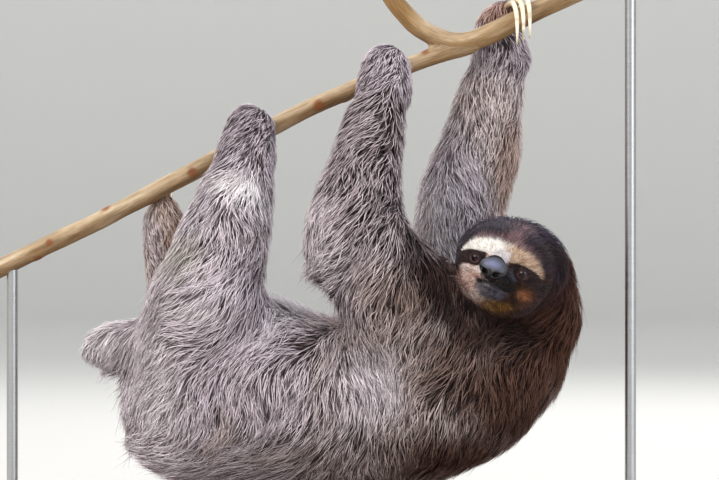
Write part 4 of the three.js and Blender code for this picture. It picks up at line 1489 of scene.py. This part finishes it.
def claw_stations(grip, offset, steps):
    """Points and radii down one claw, hooked round its stem."""
    thick, thin = settings().claws.root / MM, settings().claws.tip / MM
    line, x, side, root, tip, root_out, tip_out, lean = grip
    at, along = stem_place(line, x)
    out, up = np.array([0.0, side, 0.0]), np.array([0.0, 0.0, 1.0])
    stations = []
    for step in range(steps + 1):
        t = -0.06 + 1.06 * step / steps
        angle = math.radians(root + (tip - root) * t)
        reach = root_out + (tip_out - root_out) * t
        point = (at + along * (offset - lean * (1.0 - max(t, 0.0)) ** 3)
                 + out * math.cos(angle) * reach + up * math.sin(angle) * reach)
        radius = thick + (thin - thick) * max(t, 0.0) ** 2.6
        stations.append((point, radius))
    return stations


def claw_material():
    """Smooth horn: cream, browner at the root, paler and half clear at the tip, with growth lines."""
    material, tree, shader = new_material(
        "claw_horn", Roughness=0.36, Coat_Weight=0.12, Coat_Roughness=0.3, Subsurface_Weight=0.15,
        Subsurface_Radius=(0.0012, 0.0007, 0.0004))
    along = add_node(tree, "ShaderNodeAttribute", attribute_name="along")
    ramp = add_node(tree, "ShaderNodeValToRGB", {"Fac": along.outputs["Fac"]})
    stops = [
        (0.0, "#8d7157"), (0.14, "#c2a784"), (0.45, settings().claws.horn), (0.8, "#efe4cd"),
        (1.0, "#d9c9ab")]
    set_stops(ramp, stops)
    grain = add_node(tree, "ShaderNodeAttribute", attribute_name="grain").outputs["Vector"]
    # Growth lines run down the claw about 0.4 mm apart.
    lines = add_node(tree, "ShaderNodeTexNoise", {"Vector": grain, "Scale": 1.0, "Detail": 3.0})
    light = add_node(tree, "ShaderNodeMapRange", {
        "Value": lines.outputs["Fac"], "From Min": 0.3, "From Max": 0.7, "To Min": 0.84, "To Max": 1.08})
    shade = add_node(tree, "ShaderNodeVectorMath", {
        0: ramp.outputs["Color"], "Scale": light.outputs["Result"]}, operation="SCALE")
    bump = add_node(tree, "ShaderNodeBump", {
        "Height": lines.outputs["Fac"], "Strength": 0.3, "Distance": 0.0002})
    finish_surface(tree, shader, shade.outputs[0], bump)
    return material


def make_claws():
    """Three hooked claws on each paw, one piece a paw."""
    material = claw_material()
    spacing = settings().claws.spacing / MM
    steps, sides = 22, 16
    for paw in PAWS:
        grip = GRIPS[paw]
        bm = bmesh.new()
        along, grain = [], []
        for number in (-1, 0, 1):
            stations = claw_stations(grip, number * spacing, steps)
            verts = rounded_bar(bm, stations, sides)
            for i in range(len(verts)):
                share = (i // sides) / steps
                turn = 2.0 * math.pi * (i % sides) / sides
                along.append(share)
                grain.append((math.cos(turn) * 3.0, math.sin(turn) * 3.0, share * 4.0 + number * 5.0))
        mesh = mesh_of(f"claws_{paw}", bm)
        add_attribute(mesh, "along", "FLOAT", along)
        add_attribute(mesh, "grain", "FLOAT_VECTOR", grain)
        new_object(f"claws_{paw}", mesh, material, "claw", *claw_nodes(paw))


# ---- Branch ----

# The spacing of the bark's even mesh.
BARK_MESH = 1.9

# Knots on the branch: x, the angle round it from straight up towards the front, and size.
KNOTS = [(-186, 30, 6.0), (-113, 96, 6.0), (-2, 92, 6.5), (-252, 150, 4.5), (20, 190, 4.0),
         (94, 30, 5.0), (222, 60, 4.5), (258, -70, 4.0), (-150, 200, 4.0), (-238, 80, 4.5)]


def bark_material():
    """Thin dry bark: tan, paler on top (sun-paled and painted light) and darker below (painted shade),
    streaked along the stem, darker at knots, paler where cut.
    """
    material, tree, shader = new_material("thin_dry_bark", Roughness=0.74, Specular_IOR_Level=0.3)
    grain = add_node(tree, "ShaderNodeAttribute", attribute_name="grain").outputs["Vector"]
    marks = add_node(tree, "ShaderNodeAttribute", attribute_name="marks").outputs["Vector"]
    parts = add_node(tree, "ShaderNodeSeparateXYZ", {0: marks})
    # Fibres about 0.9 mm apart run along the stem; blotches are about 20 mm long.
    fine = add_node(tree, "ShaderNodeVectorMath", {0: grain, 1: (0.10, 1.15, 1.15)}, operation="MULTIPLY")
    fibres = add_node(tree, "ShaderNodeTexNoise", {"Vector": fine.outputs[0], "Scale": 1.0, "Detail": 4.0})
    wide = add_node(tree, "ShaderNodeVectorMath", {0: grain, 1: (0.022, 0.16, 0.16)}, operation="MULTIPLY")
    blotches = add_node(tree, "ShaderNodeTexNoise", {"Vector": wide.outputs[0], "Scale": 1.0, "Detail": 3.0})
    ramp = add_node(tree, "ShaderNodeValToRGB", {"Fac": blotches.outputs["Fac"]})
    stops = [(0.24, "#77624a"), (0.42, "#9a8365"), (0.60, settings().branch.bark), (0.80, "#cabba2")]
    set_stops(ramp, stops)
    light = add_node(tree, "ShaderNodeMapRange", {
        "Value": fibres.outputs["Fac"], "From Min": 0.32, "From Max": 0.68, "To Min": 0.72, "To Max": 1.12})
    shade = add_node(tree, "ShaderNodeVectorMath", {
        0: ramp.outputs["Color"], "Scale": light.outputs["Result"]}, operation="SCALE")
    # The side turned to the sky is paler, partly paled by the sun and partly painted light, and the
    # underside is darker brown, partly its own colour and partly painted shade.
    sky = add_node(tree, "ShaderNodeAttribute", attribute_name="top_light_and_paling").outputs["Fac"]
    lit_and_paled = add_node(tree, "ShaderNodeMix", {
        0: sky, 6: (0.66, 0.52, 0.38, 1.0), 7: (1.12, 1.14, 1.2, 1.0)}, data_type="RGBA")
    # The stem's darker brown: partly its own bark and partly painted shade.
    browner_stem = add_node(tree, "ShaderNodeMix", {
        0: parts.outputs["Z"], 6: lit_and_paled.outputs[2], 7: (0.62, 0.47, 0.28, 1.0)}, data_type="RGBA")
    brown = add_node(tree, "ShaderNodeMix", {
        0: 1.0, 6: shade.outputs[0], 7: browner_stem.outputs[2]}, data_type="RGBA", blend_type="MULTIPLY")
    knots = add_node(tree, "ShaderNodeMix", {
        0: parts.outputs["X"], 6: brown.outputs[2], 7: (*settings().branch.knot, 1.0)}, data_type="RGBA")
    cut = add_node(tree, "ShaderNodeMix", {
        0: parts.outputs["Y"], 6: knots.outputs[2], 7: (*settings().branch.cut, 1.0)}, data_type="RGBA")
    bump = add_node(tree, "ShaderNodeBump", {
        "Height": fibres.outputs["Fac"], "Strength": 0.55, "Distance": 0.0005})
    finish_surface(tree, shader, cut.outputs[2], bump)
    return material


def along_stems(lines, points):
    """The bark's grain at points, along and across their stem, and how far out from its middle they lie."""
    every = np.concatenate(lines)
    heading = np.concatenate([unit(np.gradient(rows[:, :3], axis=0)) for rows in lines])
    reach = np.concatenate([
        np.concatenate([[0], np.cumsum(np.linalg.norm(np.diff(rows[:, :3], axis=0), axis=1))]) + k * 900
        for k, rows in enumerate(lines)])
    tree = KDTree(len(every))
    for i, row in enumerate(every):
        tree.insert(row[:3], i)
    tree.balance()
    near = np.array([tree.find(p)[1] for p in points])
    along = np.sum((points - every[near, :3]) * heading[near], 1)
    out = points - every[near, :3] - heading[near] * along[:, None]
    level = np.cross(heading[near], [0.0, 1.0, 0.0])
    return np.stack([reach[near] + along, np.sum(out * level, 1), out[:, 1]], 1), out


def knot_middles():
    """The middle of each knot on the stems, and its size."""
    across = np.array([0.0, 1.0, 0.0])
    for x, angle, size in KNOTS:
        at, ahead = stem_place(BRANCH if x < 110 else STEM, x)
        turn = math.radians(angle)
        yield at + unit(np.cross(ahead, across) * math.cos(turn) - across * math.sin(turn)) * 8.0, size


def cut_ends(lines, points, normals):
    """1 on the sawn ends of the stems."""
    ends = np.zeros(len(points))
    for rows in lines:
        for end, inner in ((rows[0], rows[1]), (rows[-1], rows[-2])):
            near_end = np.linalg.norm(points - end[:3], axis=1) < 13.0
            ends = np.maximum(ends, near_end * ease(0.6, 0.8, normals @ unit(end[:3] - inner[:3])))
    return ends


def make_branch():
    """Both stems of the forked branch as one closed piece with creased bark, knots and sawn ends."""
    bm = bmesh.new()
    lines = [smooth_line(BRANCH, 10), smooth_line(STEM, 10)]
    for rows in lines:
        rounded_bar(bm, [(row[:3], row[3]) for row in rows], 24)
    mesh = remeshed(mesh_of("branch_bars", bm), BARK_MESH)
    edges = edges_of(mesh)
    points = spread(points_of(mesh), edges, 3)
    by_fork = ease(46.0, 22.0, np.linalg.norm(points - [112.0, 0.0, 434.0], axis=1))
    points = mix(points, spread(points, edges, 24), by_fork)
    set_points(mesh, points)
    grain, out = along_stems(lines, points)
    ripple = noise_at(grain, np.array([0.035, 0.09, 0.09]))
    creases = noise_at(grain, np.array([0.02, 0.30, 0.30]))
    lift = 0.6 * ripple + 0.3 * creases
    # Paler where the bark faces up, partly paled by the sun and partly painted light, and darker below as
    # painted shade.
    top_light_and_paling = ease(-7.0, 7.5, out[:, 2] + 5.0 * ripple + 4.0 * creases)
    knot = np.zeros(len(points))
    for centre, size in knot_middles():
        away = np.linalg.norm(points - centre, axis=1)
        lift += 1.3 * np.exp(-((away / size) ** 2)) - 1.4 * np.exp(-((away / (size * 0.38)) ** 2))
        knot = np.maximum(knot, 0.85 * ease(size, size * 0.35, away + 1.6 * creases))
    normals = normals_of(mesh)
    ends = cut_ends(lines, points, normals)
    lift *= 1.0 - ends
    set_points(mesh, points + normals * lift[:, None])
    # Darker and browner up the stem and towards the branch's right end: partly the stem's browner bark and
    # partly painted shade.
    browner_stem = ease(96.0, 74.0, points[:, 0]) * ease(438.0, 450.0, points[:, 2])
    browner_stem = np.maximum(browner_stem, 0.35 * ease(60.0, 150.0, points[:, 0]))
    add_attribute(mesh, "grain", "FLOAT_VECTOR", grain)
    add_attribute(mesh, "top_light_and_paling", "FLOAT", top_light_and_paling)
    add_attribute(mesh, "marks", "FLOAT_VECTOR", np.stack([knot, ends, browner_stem], 1))
    new_object("branch_bark", mesh, bark_material(), "bark", "branch")


# ---- Stand ----


def timber_material():
    """Stained close-grained timber under a satin varnish."""
    material, tree, shader = new_material(
        "stained_timber", Roughness=0.42, Coat_Weight=0.25, Coat_Roughness=0.3)
    place = add_node(tree, "ShaderNodeTexCoord").outputs["Object"]
    # Grain runs along the base; its lines are about 3 mm apart and its pores 0.6 mm.
    long = add_node(tree, "ShaderNodeMapping", {"Vector": place, "Scale": (6.0, 330.0, 330.0)})
    rings = add_node(tree, "ShaderNodeTexNoise", {
        "Vector": long.outputs[0], "Scale": 0.6, "Detail": 4.0, "Distortion": 0.6})
    pores = add_node(tree, "ShaderNodeMapping", {"Vector": place, "Scale": (60.0, 1700.0, 1700.0)})
    fine = add_node(tree, "ShaderNodeTexNoise", {"Vector": pores.outputs[0], "Scale": 1.0, "Detail": 2.0})
    ramp = add_node(tree, "ShaderNodeValToRGB", {"Fac": rings.outputs["Fac"]})
    stops = [(0.32, "#2a1810"), (0.48, "#45291a"), (0.58, settings().stand.timber), (0.72, "#6d4830")]
    set_stops(ramp, stops)
    light = add_node(tree, "ShaderNodeMapRange", {
        "Value": fine.outputs["Fac"], "From Min": 0.35, "From Max": 0.6, "To Min": 0.7, "To Max": 1.05})
    shade = add_node(tree, "ShaderNodeVectorMath", {
        0: ramp.outputs["Color"], "Scale": light.outputs["Result"]}, operation="SCALE")
    bump = add_node(tree, "ShaderNodeBump", {
        "Height": fine.outputs["Fac"], "Strength": 0.15, "Distance": 0.0002})
    finish_surface(tree, shader, shade.outputs[0], bump)
    return material


def steel_material():
    """Turned and brushed stainless steel, its brush marks running round."""
    material, tree, shader = new_material("brushed_stainless_steel", Metallic=1.0, Roughness=0.3)
    place = add_node(tree, "ShaderNodeTexCoord").outputs["Object"]
    # Brush marks about 0.5 mm apart up the rod.
    lines = add_node(tree, "ShaderNodeMapping", {"Vector": place, "Scale": (40.0, 40.0, 2000.0)})
    marks = add_node(tree, "ShaderNodeTexNoise", {"Vector": lines.outputs[0], "Scale": 1.0, "Detail": 3.0})
    rough = add_node(tree, "ShaderNodeMapRange", {
        "Value": marks.outputs["Fac"], "To Min": 0.24, "To Max": 0.42})
    palest = (*settings().stand.steel, 1.0)
    tint = add_node(tree, "ShaderNodeMix", {
        0: marks.outputs["Fac"], 6: (*linear("#a9abad"), 1.0), 7: palest}, data_type="RGBA")
    bump = add_node(tree, "ShaderNodeBump", {
        "Height": marks.outputs["Fac"], "Strength": 0.12, "Distance": 0.0001})
    tree.links.new(rough.outputs["Result"], shader.inputs["Roughness"])
    finish_surface(tree, shader, tint.outputs[2], bump)
    return material


# The groove round the base's top: how far in from the edge it starts, the width of each of its sloping
# sides and of its floor, and its depth.
GROOVE_INSET, GROOVE_SIDE, GROOVE_FLOOR, GROOVE_DEPTH = 12.0, 0.8, 1.2, 1.0
# The bevel at a rod's ends, and the gap between a rod and its collar.
ROD_BEVEL = 0.6
COLLAR_GAP = 0.2


def solid_box(node):
    """The lowest and highest corners of a solid, in millimetres."""
    return (np.array(corner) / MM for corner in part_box(node))


def base_plate():
    """The flat base, with rounded corners and edges and a fine groove round its top."""
    stand = settings().stand
    low, high = solid_box("stand_base")
    size = high - low
    bm = bmesh.new()
    bmesh.ops.create_cube(bm, size=1.0)
    bmesh.ops.scale(bm, vec=size, verts=bm.verts)
    upright = [e for e in bm.edges if abs(e.verts[0].co.z - e.verts[1].co.z) > size[2] / 2]
    bmesh.ops.bevel(
        bm, geom=upright, offset=stand.corner / MM, segments=14, profile=0.5, affect="EDGES", material=-1)
    rims = [e for e in bm.edges if abs(e.verts[0].co.z - e.verts[1].co.z) < 1e-4 and len(e.link_faces) == 2
            and {round(abs(f.normal.z)) for f in e.link_faces} == {0, 1}]
    bmesh.ops.bevel(
        bm, geom=rims, offset=stand.edge / MM, segments=5, profile=0.5, affect="EDGES", material=-1)
    top = max(bm.faces, key=lambda f: f.calc_center_median().z * 1e3 + f.calc_area() * 1e-3)
    bmesh.ops.inset_region(bm, faces=[top], thickness=GROOVE_INSET)
    bmesh.ops.inset_region(bm, faces=[top], thickness=GROOVE_SIDE)
    groove = bmesh.ops.inset_region(bm, faces=[top], thickness=GROOVE_FLOOR)["faces"]
    bmesh.ops.inset_region(bm, faces=[top], thickness=GROOVE_SIDE)
    for vert in {v for f in groove for v in f.verts}:
        vert.co.z -= GROOVE_DEPTH
    bmesh.ops.translate(bm, vec=(high + low) / 2.0, verts=bm.verts)
    base = new_object(
        "stand_base_plate", mesh_of("stand_base_plate", bm), timber_material(), "base", "stand_base")
    base.data.set_sharp_from_angle(angle=math.radians(32.0))


def steel_rod(side, steel):
    """One turned rod; gives its radius."""
    low, high = solid_box(f"stand_rod_{side}")
    radius = (high[1] - low[1]) / 2.0
    bm = bmesh.new()
    profile = [
        (0, low[2]), (radius - ROD_BEVEL, low[2]), (radius, low[2] + ROD_BEVEL),
        (radius, high[2] - ROD_BEVEL), (radius - ROD_BEVEL, high[2]), (0, high[2])]
    spun_profile(bm, profile, (low + high) / 2.0, 40)
    new_object(f"stand_rod_{side}_steel", sharp(mesh_of("rod", bm)), steel, "steel", f"stand_rod_{side}")
    return radius


def steel_collar(side, steel, inner):
    """One turned collar with a groove, a rounded rim and a small hexagonal screw head."""
    low, high = solid_box(f"stand_collar_{side}")
    centre = (low + high) / 2.0
    outer = (high[1] - low[1]) / 2.0
    base_z, top_z = low[2], high[2]
    bm = bmesh.new()
    profile = [
        (inner, base_z), (outer - 0.5, base_z), (outer, base_z + 0.5), (outer, base_z + 3.0),
        (outer - 0.8, base_z + 3.5), (outer - 0.8, base_z + 4.5), (outer, base_z + 5.0),
        (outer, top_z - 1.6), (outer - 1.6, top_z), (inner + 0.5, top_z), (inner, top_z - 0.5),
        (inner, base_z)]
    spun_profile(bm, profile, centre, 56)
    screw = bmesh.ops.create_cone(
        bm, cap_ends=True, segments=6, radius1=1.5, radius2=1.5, depth=1.0)["verts"]
    bmesh.ops.rotate(bm, cent=(0, 0, 0), matrix=Matrix.Rotation(math.pi / 2, 3, "X"), verts=screw)
    bmesh.ops.translate(bm, vec=centre[:2].tolist() + [base_z + 8.0], verts=screw)
    bmesh.ops.translate(bm, vec=(0, -(outer - 0.2), 0), verts=screw)
    new_object(
        f"stand_collar_{side}_steel", sharp(mesh_of("collar", bm)), steel, "steel", f"stand_collar_{side}")


def make_stand():
    """The base, the two rods and their collars."""
    base_plate()
    steel = steel_material()
    for side in SIDES:
        radius = steel_rod(side, steel)
        steel_collar(side, steel, radius + COLLAR_GAP)


def sharp(mesh):
    """A turned mesh with its crisp edges kept."""
    mesh.set_sharp_from_angle(angle=math.radians(30.0))
    return mesh


def spun_profile(bm, profile, centre, steps):
    """Spins a profile of radius and height round an upright line through centre."""
    verts = [bm.verts.new((centre[0] + r, centre[1], z)) for r, z in profile]
    edges = [bm.edges.new(pair) for pair in zip(verts, verts[1:])]
    bmesh.ops.spin(bm, geom=verts + edges, cent=(centre[0], centre[1], 0.0), axis=(0, 0, 1),
                   angle=2.0 * math.pi, steps=steps, use_merge=True)
    bmesh.ops.remove_doubles(bm, verts=bm.verts, dist=1e-3)


# ---- Stage, lights and camera ----


def studio_floor(stage):
    """A wide pale floor that bends up into a wall all round."""
    bm = bmesh.new()
    flat, bend, top = stage.floor_radius / MM, stage.floor_bend / MM, stage.wall_height / MM
    profile = [(0.0, 0.0), (flat * 0.5, 0.0), (flat, 0.0)]
    profile += [(flat + bend * math.sin(a), bend * (1.0 - math.cos(a)))
                for a in np.linspace(0.0, math.pi / 2, 17)[1:]]
    profile.append((flat + bend, top))
    spun_profile(bm, profile, (0.0, 0.0, 0.0), 128)
    mesh = mesh_of("studio_floor", bm)
    mesh.flip_normals()
    material, tree, shader = new_material("matt_studio_paint", Roughness=0.9)
    place = add_node(tree, "ShaderNodeTexCoord").outputs["Object"]
    parts = add_node(tree, "ShaderNodeSeparateXYZ", {0: place})
    # The paint is a little paler up the wall, so that the wall looks as light as the floor.
    high = add_node(tree, "ShaderNodeMapRange", {
        "Value": parts.outputs["Z"], "From Min": 0.0, "From Max": 2.2})
    tint = add_node(tree, "ShaderNodeMix", {
        0: high.outputs["Result"], 6: (*linear("#b9b7b3"), 1.0), 7: (*stage.paint, 1.0)}, data_type="RGBA")
    finish_surface(tree, shader, tint.outputs[2])
    mesh.materials.append(material)
    mesh.polygons.foreach_set("use_smooth", np.ones(len(mesh.polygons), bool))
    put_in_scene("studio_floor", mesh)


def studio_lights(stage):
    """Even light from all round, and three large soft lamps."""
    world = bpy.data.worlds.new("studio_air")
    world.use_nodes = True
    air = world.node_tree.nodes["Background"]
    air.inputs["Color"].default_value = (*linear("#eef2f6"), 1.0)
    air.inputs["Strength"].default_value = stage.air_strength
    bpy.context.scene.world = world
    bpy.context.scene.view_settings.view_transform = "Standard"
    target = Vector((0.03, -0.02, 0.25))
    for name, place, size, power, colour in (
        ("key_light", (-2.2, -1.9, 2.4), 1.8, stage.key_power, "#fffaf2"),
        ("fill_light", (2.3, -2.2, 1.3), 2.2, stage.fill_power, "#f2f6ff"),
        ("rim_light", (0.8, 2.4, 2.4), 1.8, stage.rim_power, "#ffffff"),
    ):
        lamp = bpy.data.lights.new(name, "AREA")
        lamp.shape = "SQUARE"
        lamp.size = size
        lamp.energy = power
        lamp.color = linear(colour)
        holder = put_in_scene(name, lamp)
        holder.location = place
        holder.rotation_euler = (target - Vector(place)).to_track_quat("-Z", "Y").to_euler()


def studio_camera(stage):
    """A level camera in front of the object."""
    lens = bpy.data.cameras.new("view")
    lens.sensor_width = 36.0
    lens.lens = lens.sensor_width * stage.camera_distance / stage.view_width
    lens.clip_start, lens.clip_end = 0.1, 60.0
    camera = put_in_scene("view", lens)
    camera.location = (stage.camera_x, -stage.camera_distance, stage.camera_height)
    camera.rotation_euler = (math.pi / 2, 0.0, 0.0)
    bpy.context.scene.camera = camera


def make_stage():
    """The studio, its lights and the camera."""
    stage = settings().stage
    studio_floor(stage)
    studio_lights(stage)
    studio_camera(stage)


# ---- Settings, operators and panel ----


def length_property(name, description, default):
    """A length in metres that a user may change."""
    return bpy.props.FloatProperty(
        name=name, description=description, default=default, min=0.0, unit="LENGTH", precision=4)


def share_property(name, description, high):
    """A share of a usual amount, up to high."""
    return bpy.props.FloatProperty(
        name=name, description=description, default=1.0, min=0.02, max=high, subtype="FACTOR")


def colour_property(name, description, hex_colour):
    """A colour that a user may change."""
    return bpy.props.FloatVectorProperty(
        name=name, description=description, default=linear(hex_colour), min=0.0, max=1.0, size=3,
        subtype="COLOR")


class CoatSettings(bpy.types.PropertyGroup):
    """The coat of the body and the limbs."""

    fullness: share_property("Fullness", "Share of the coat's full number of locks", 1.0)
    length: share_property("Length", "Length of the body's locks beside their usual length", 1.2)
    tint: colour_property("Tint", "Colour that the body's own markings are multiplied by", "#fffafd")


class FaceSettings(bpy.types.PropertyGroup):
    """Colours of the bare parts of the face."""

    iris: colour_property("Iris", "Colour of the iris at its brightest", "#4b2b32")
    # The nose colour is the painted highlight and sky reflection on the pad's top.
    nose: colour_property("Nose", "Colour of the top of the bare nose pad", "#5c5f7c")


class ClawSettings(bpy.types.PropertyGroup):
    """Sizes and colour of the claws."""

    spacing: length_property("Spacing", "From the middle of one claw of a paw to the next", 0.0062)
    root: length_property("Root radius", "Radius of a claw at its root", 0.00245)
    tip: length_property("Tip radius", "Radius of a claw at its tip", 0.00055)
    horn: colour_property("Horn", "Colour of the horn halfway down a claw", "#e6d6b8")


class BranchSettings(bpy.types.PropertyGroup):
    """Colours of the branch."""

    bark: colour_property("Bark", "Colour of most of the bark", "#b09a7c")
    knot: colour_property("Knots", "Colour of the knots", "#7c4420")
    cut: colour_property("Cut wood", "Colour of the cut ends", "#dcc59a")


class StandSettings(bpy.types.PropertyGroup):
    """Sizes of the display stand that the solids don't give, and its colours."""

    corner: length_property("Corner radius", "Radius of the base's corners seen from above", 0.024)
    edge: length_property("Edge radius", "Radius of the base's top and bottom edges", 0.0025)
    timber: colour_property("Timber", "Colour of the stained timber", "#5c3a25")
    steel: colour_property("Steel", "Colour of the rods and collars at their palest", "#c9cacb")


class StageSettings(bpy.types.PropertyGroup):
    """The studio round the object."""

    floor_radius: length_property("Floor radius", "Radius of the flat floor", 8.5)
    floor_bend: length_property("Bend radius", "Radius of the bend where the floor becomes the wall", 2.5)
    wall_height: length_property("Wall height", "Height of the studio's wall", 7.5)
    paint: colour_property("Paint", "Colour of the studio's wall", "#dcdad6")
    camera_distance: length_property("Camera distance", "From the camera to the object's middle plane", 3.0)
    camera_height: length_property("Camera height", "Height of the camera above the floor", 0.2674)
    camera_x: length_property("Camera place", "How far the camera stands towards the head's end", 0.034)
    view_width: length_property("View width", "Width of the view at the object's middle plane", 0.6327)
    key_power: bpy.props.FloatProperty(
        name="Key light", description="Power of the main light", default=104.0, unit="POWER")
    fill_power: bpy.props.FloatProperty(
        name="Fill light", description="Power of the second light", default=44.0, unit="POWER")
    rim_power: bpy.props.FloatProperty(
        name="Rim light", description="Power of the light behind", default=68.0, unit="POWER")
    air_strength: bpy.props.FloatProperty(
        name="Air", description="Strength of the light all round", default=1.5)


class SlothSettings(bpy.types.PropertyGroup):
    """Settings of the whole model."""

    coat: bpy.props.PointerProperty(type=CoatSettings, name="Coat", description="The coat")
    face: bpy.props.PointerProperty(type=FaceSettings, name="Face", description="The face")
    claws: bpy.props.PointerProperty(type=ClawSettings, name="Claws", description="The claws")
    branch: bpy.props.PointerProperty(type=BranchSettings, name="Branch", description="The branch")
    stand: bpy.props.PointerProperty(type=StandSettings, name="Stand", description="The display stand")
    stage: bpy.props.PointerProperty(type=StageSettings, name="Stage", description="The studio")


class SLOTH_OT_make_stage(bpy.types.Operator):
    """Makes the studio, its lights and the camera"""

    bl_idname = "sloth.make_stage"
    bl_label = "Make stage"

    def execute(self, context):
        make_stage()
        return {"FINISHED"}


class SLOTH_OT_make_stand(bpy.types.Operator):
    """Makes the base, the rods and their collars"""

    bl_idname = "sloth.make_stand"
    bl_label = "Make stand"

    def execute(self, context):
        make_stand()
        return {"FINISHED"}


class SLOTH_OT_make_branch(bpy.types.Operator):
    """Makes the forked branch with its bark and knots"""

    bl_idname = "sloth.make_branch"
    bl_label = "Make branch"

    def execute(self, context):
        make_branch()
        return {"FINISHED"}


class SLOTH_OT_make_claws(bpy.types.Operator):
    """Makes the three claws of each paw"""

    bl_idname = "sloth.make_claws"
    bl_label = "Make claws"

    def execute(self, context):
        make_claws()
        return {"FINISHED"}


class SLOTH_OT_make_eyes(bpy.types.Operator):
    """Makes both eyeballs"""

    bl_idname = "sloth.make_eyes"
    bl_label = "Make eyes"

    def execute(self, context):
        make_eyes()
        return {"FINISHED"}


class SLOTH_OT_make_nose(bpy.types.Operator):
    """Makes the bare nose pad with its nostrils"""

    bl_idname = "sloth.make_nose"
    bl_label = "Make nose"

    def execute(self, context):
        make_nose()
        return {"FINISHED"}


class SLOTH_OT_make_skin(bpy.types.Operator):
    """Makes the skin with its lids, lips and markings"""

    bl_idname = "sloth.make_skin"
    bl_label = "Make skin"

    def execute(self, context):
        make_skin()
        return {"FINISHED"}


class SLOTH_OT_make_coat(bpy.types.Operator):
    """Grows the locks of hair on the skin, which is made first"""

    bl_idname = "sloth.make_coat"
    bl_label = "Make coat"

    def execute(self, context):
        if not skin_data:
            raise RuntimeError("The coat grows on the skin, so the skin is made first.")
        make_coat()
        return {"FINISHED"}


OPERATORS = [
    SLOTH_OT_make_stage, SLOTH_OT_make_stand, SLOTH_OT_make_branch, SLOTH_OT_make_claws,
    SLOTH_OT_make_eyes, SLOTH_OT_make_nose, SLOTH_OT_make_skin, SLOTH_OT_make_coat,
]


class SLOTH_PT_pieces(bpy.types.Panel):
    """Lists the operators that make the sloth."""

    bl_label = "Sloth"
    bl_idname = "SLOTH_PT_pieces"
    bl_space_type = "VIEW_3D"
    bl_region_type = "UI"
    bl_category = "Sloth"

    def draw(self, context):
        for made in OPERATORS:
            self.layout.operator(made.bl_idname)
        sloth = context.scene.sloth
        for group in (sloth.coat, sloth.face, sloth.claws, sloth.branch, sloth.stand, sloth.stage):
            box = self.layout.box()
            for name in group.__annotations__:
                box.prop(group, name)


CLASSES = [
    CoatSettings, FaceSettings, ClawSettings, BranchSettings, StandSettings, StageSettings, SlothSettings,
    *OPERATORS, SLOTH_PT_pieces,
]


def register():
    """Registers the settings, the operators and the panel."""
    for made in CLASSES:
        bpy.utils.register_class(made)
    bpy.types.Scene.sloth = bpy.props.PointerProperty(type=SlothSettings)


def unregister():
    """Takes them away again."""
    del bpy.types.Scene.sloth
    for made in reversed(CLASSES):
        bpy.utils.unregister_class(made)


def main():
    """Makes every piece in order, in metres."""
    register()
    bpy.ops.sloth.make_stage()
    bpy.ops.sloth.make_stand()
    bpy.ops.sloth.make_branch()
    bpy.ops.sloth.make_claws()
    bpy.ops.sloth.make_eyes()
    bpy.ops.sloth.make_nose()
    bpy.ops.sloth.make_skin()
    bpy.ops.sloth.make_coat()


if __name__ == "__main__":
    main()
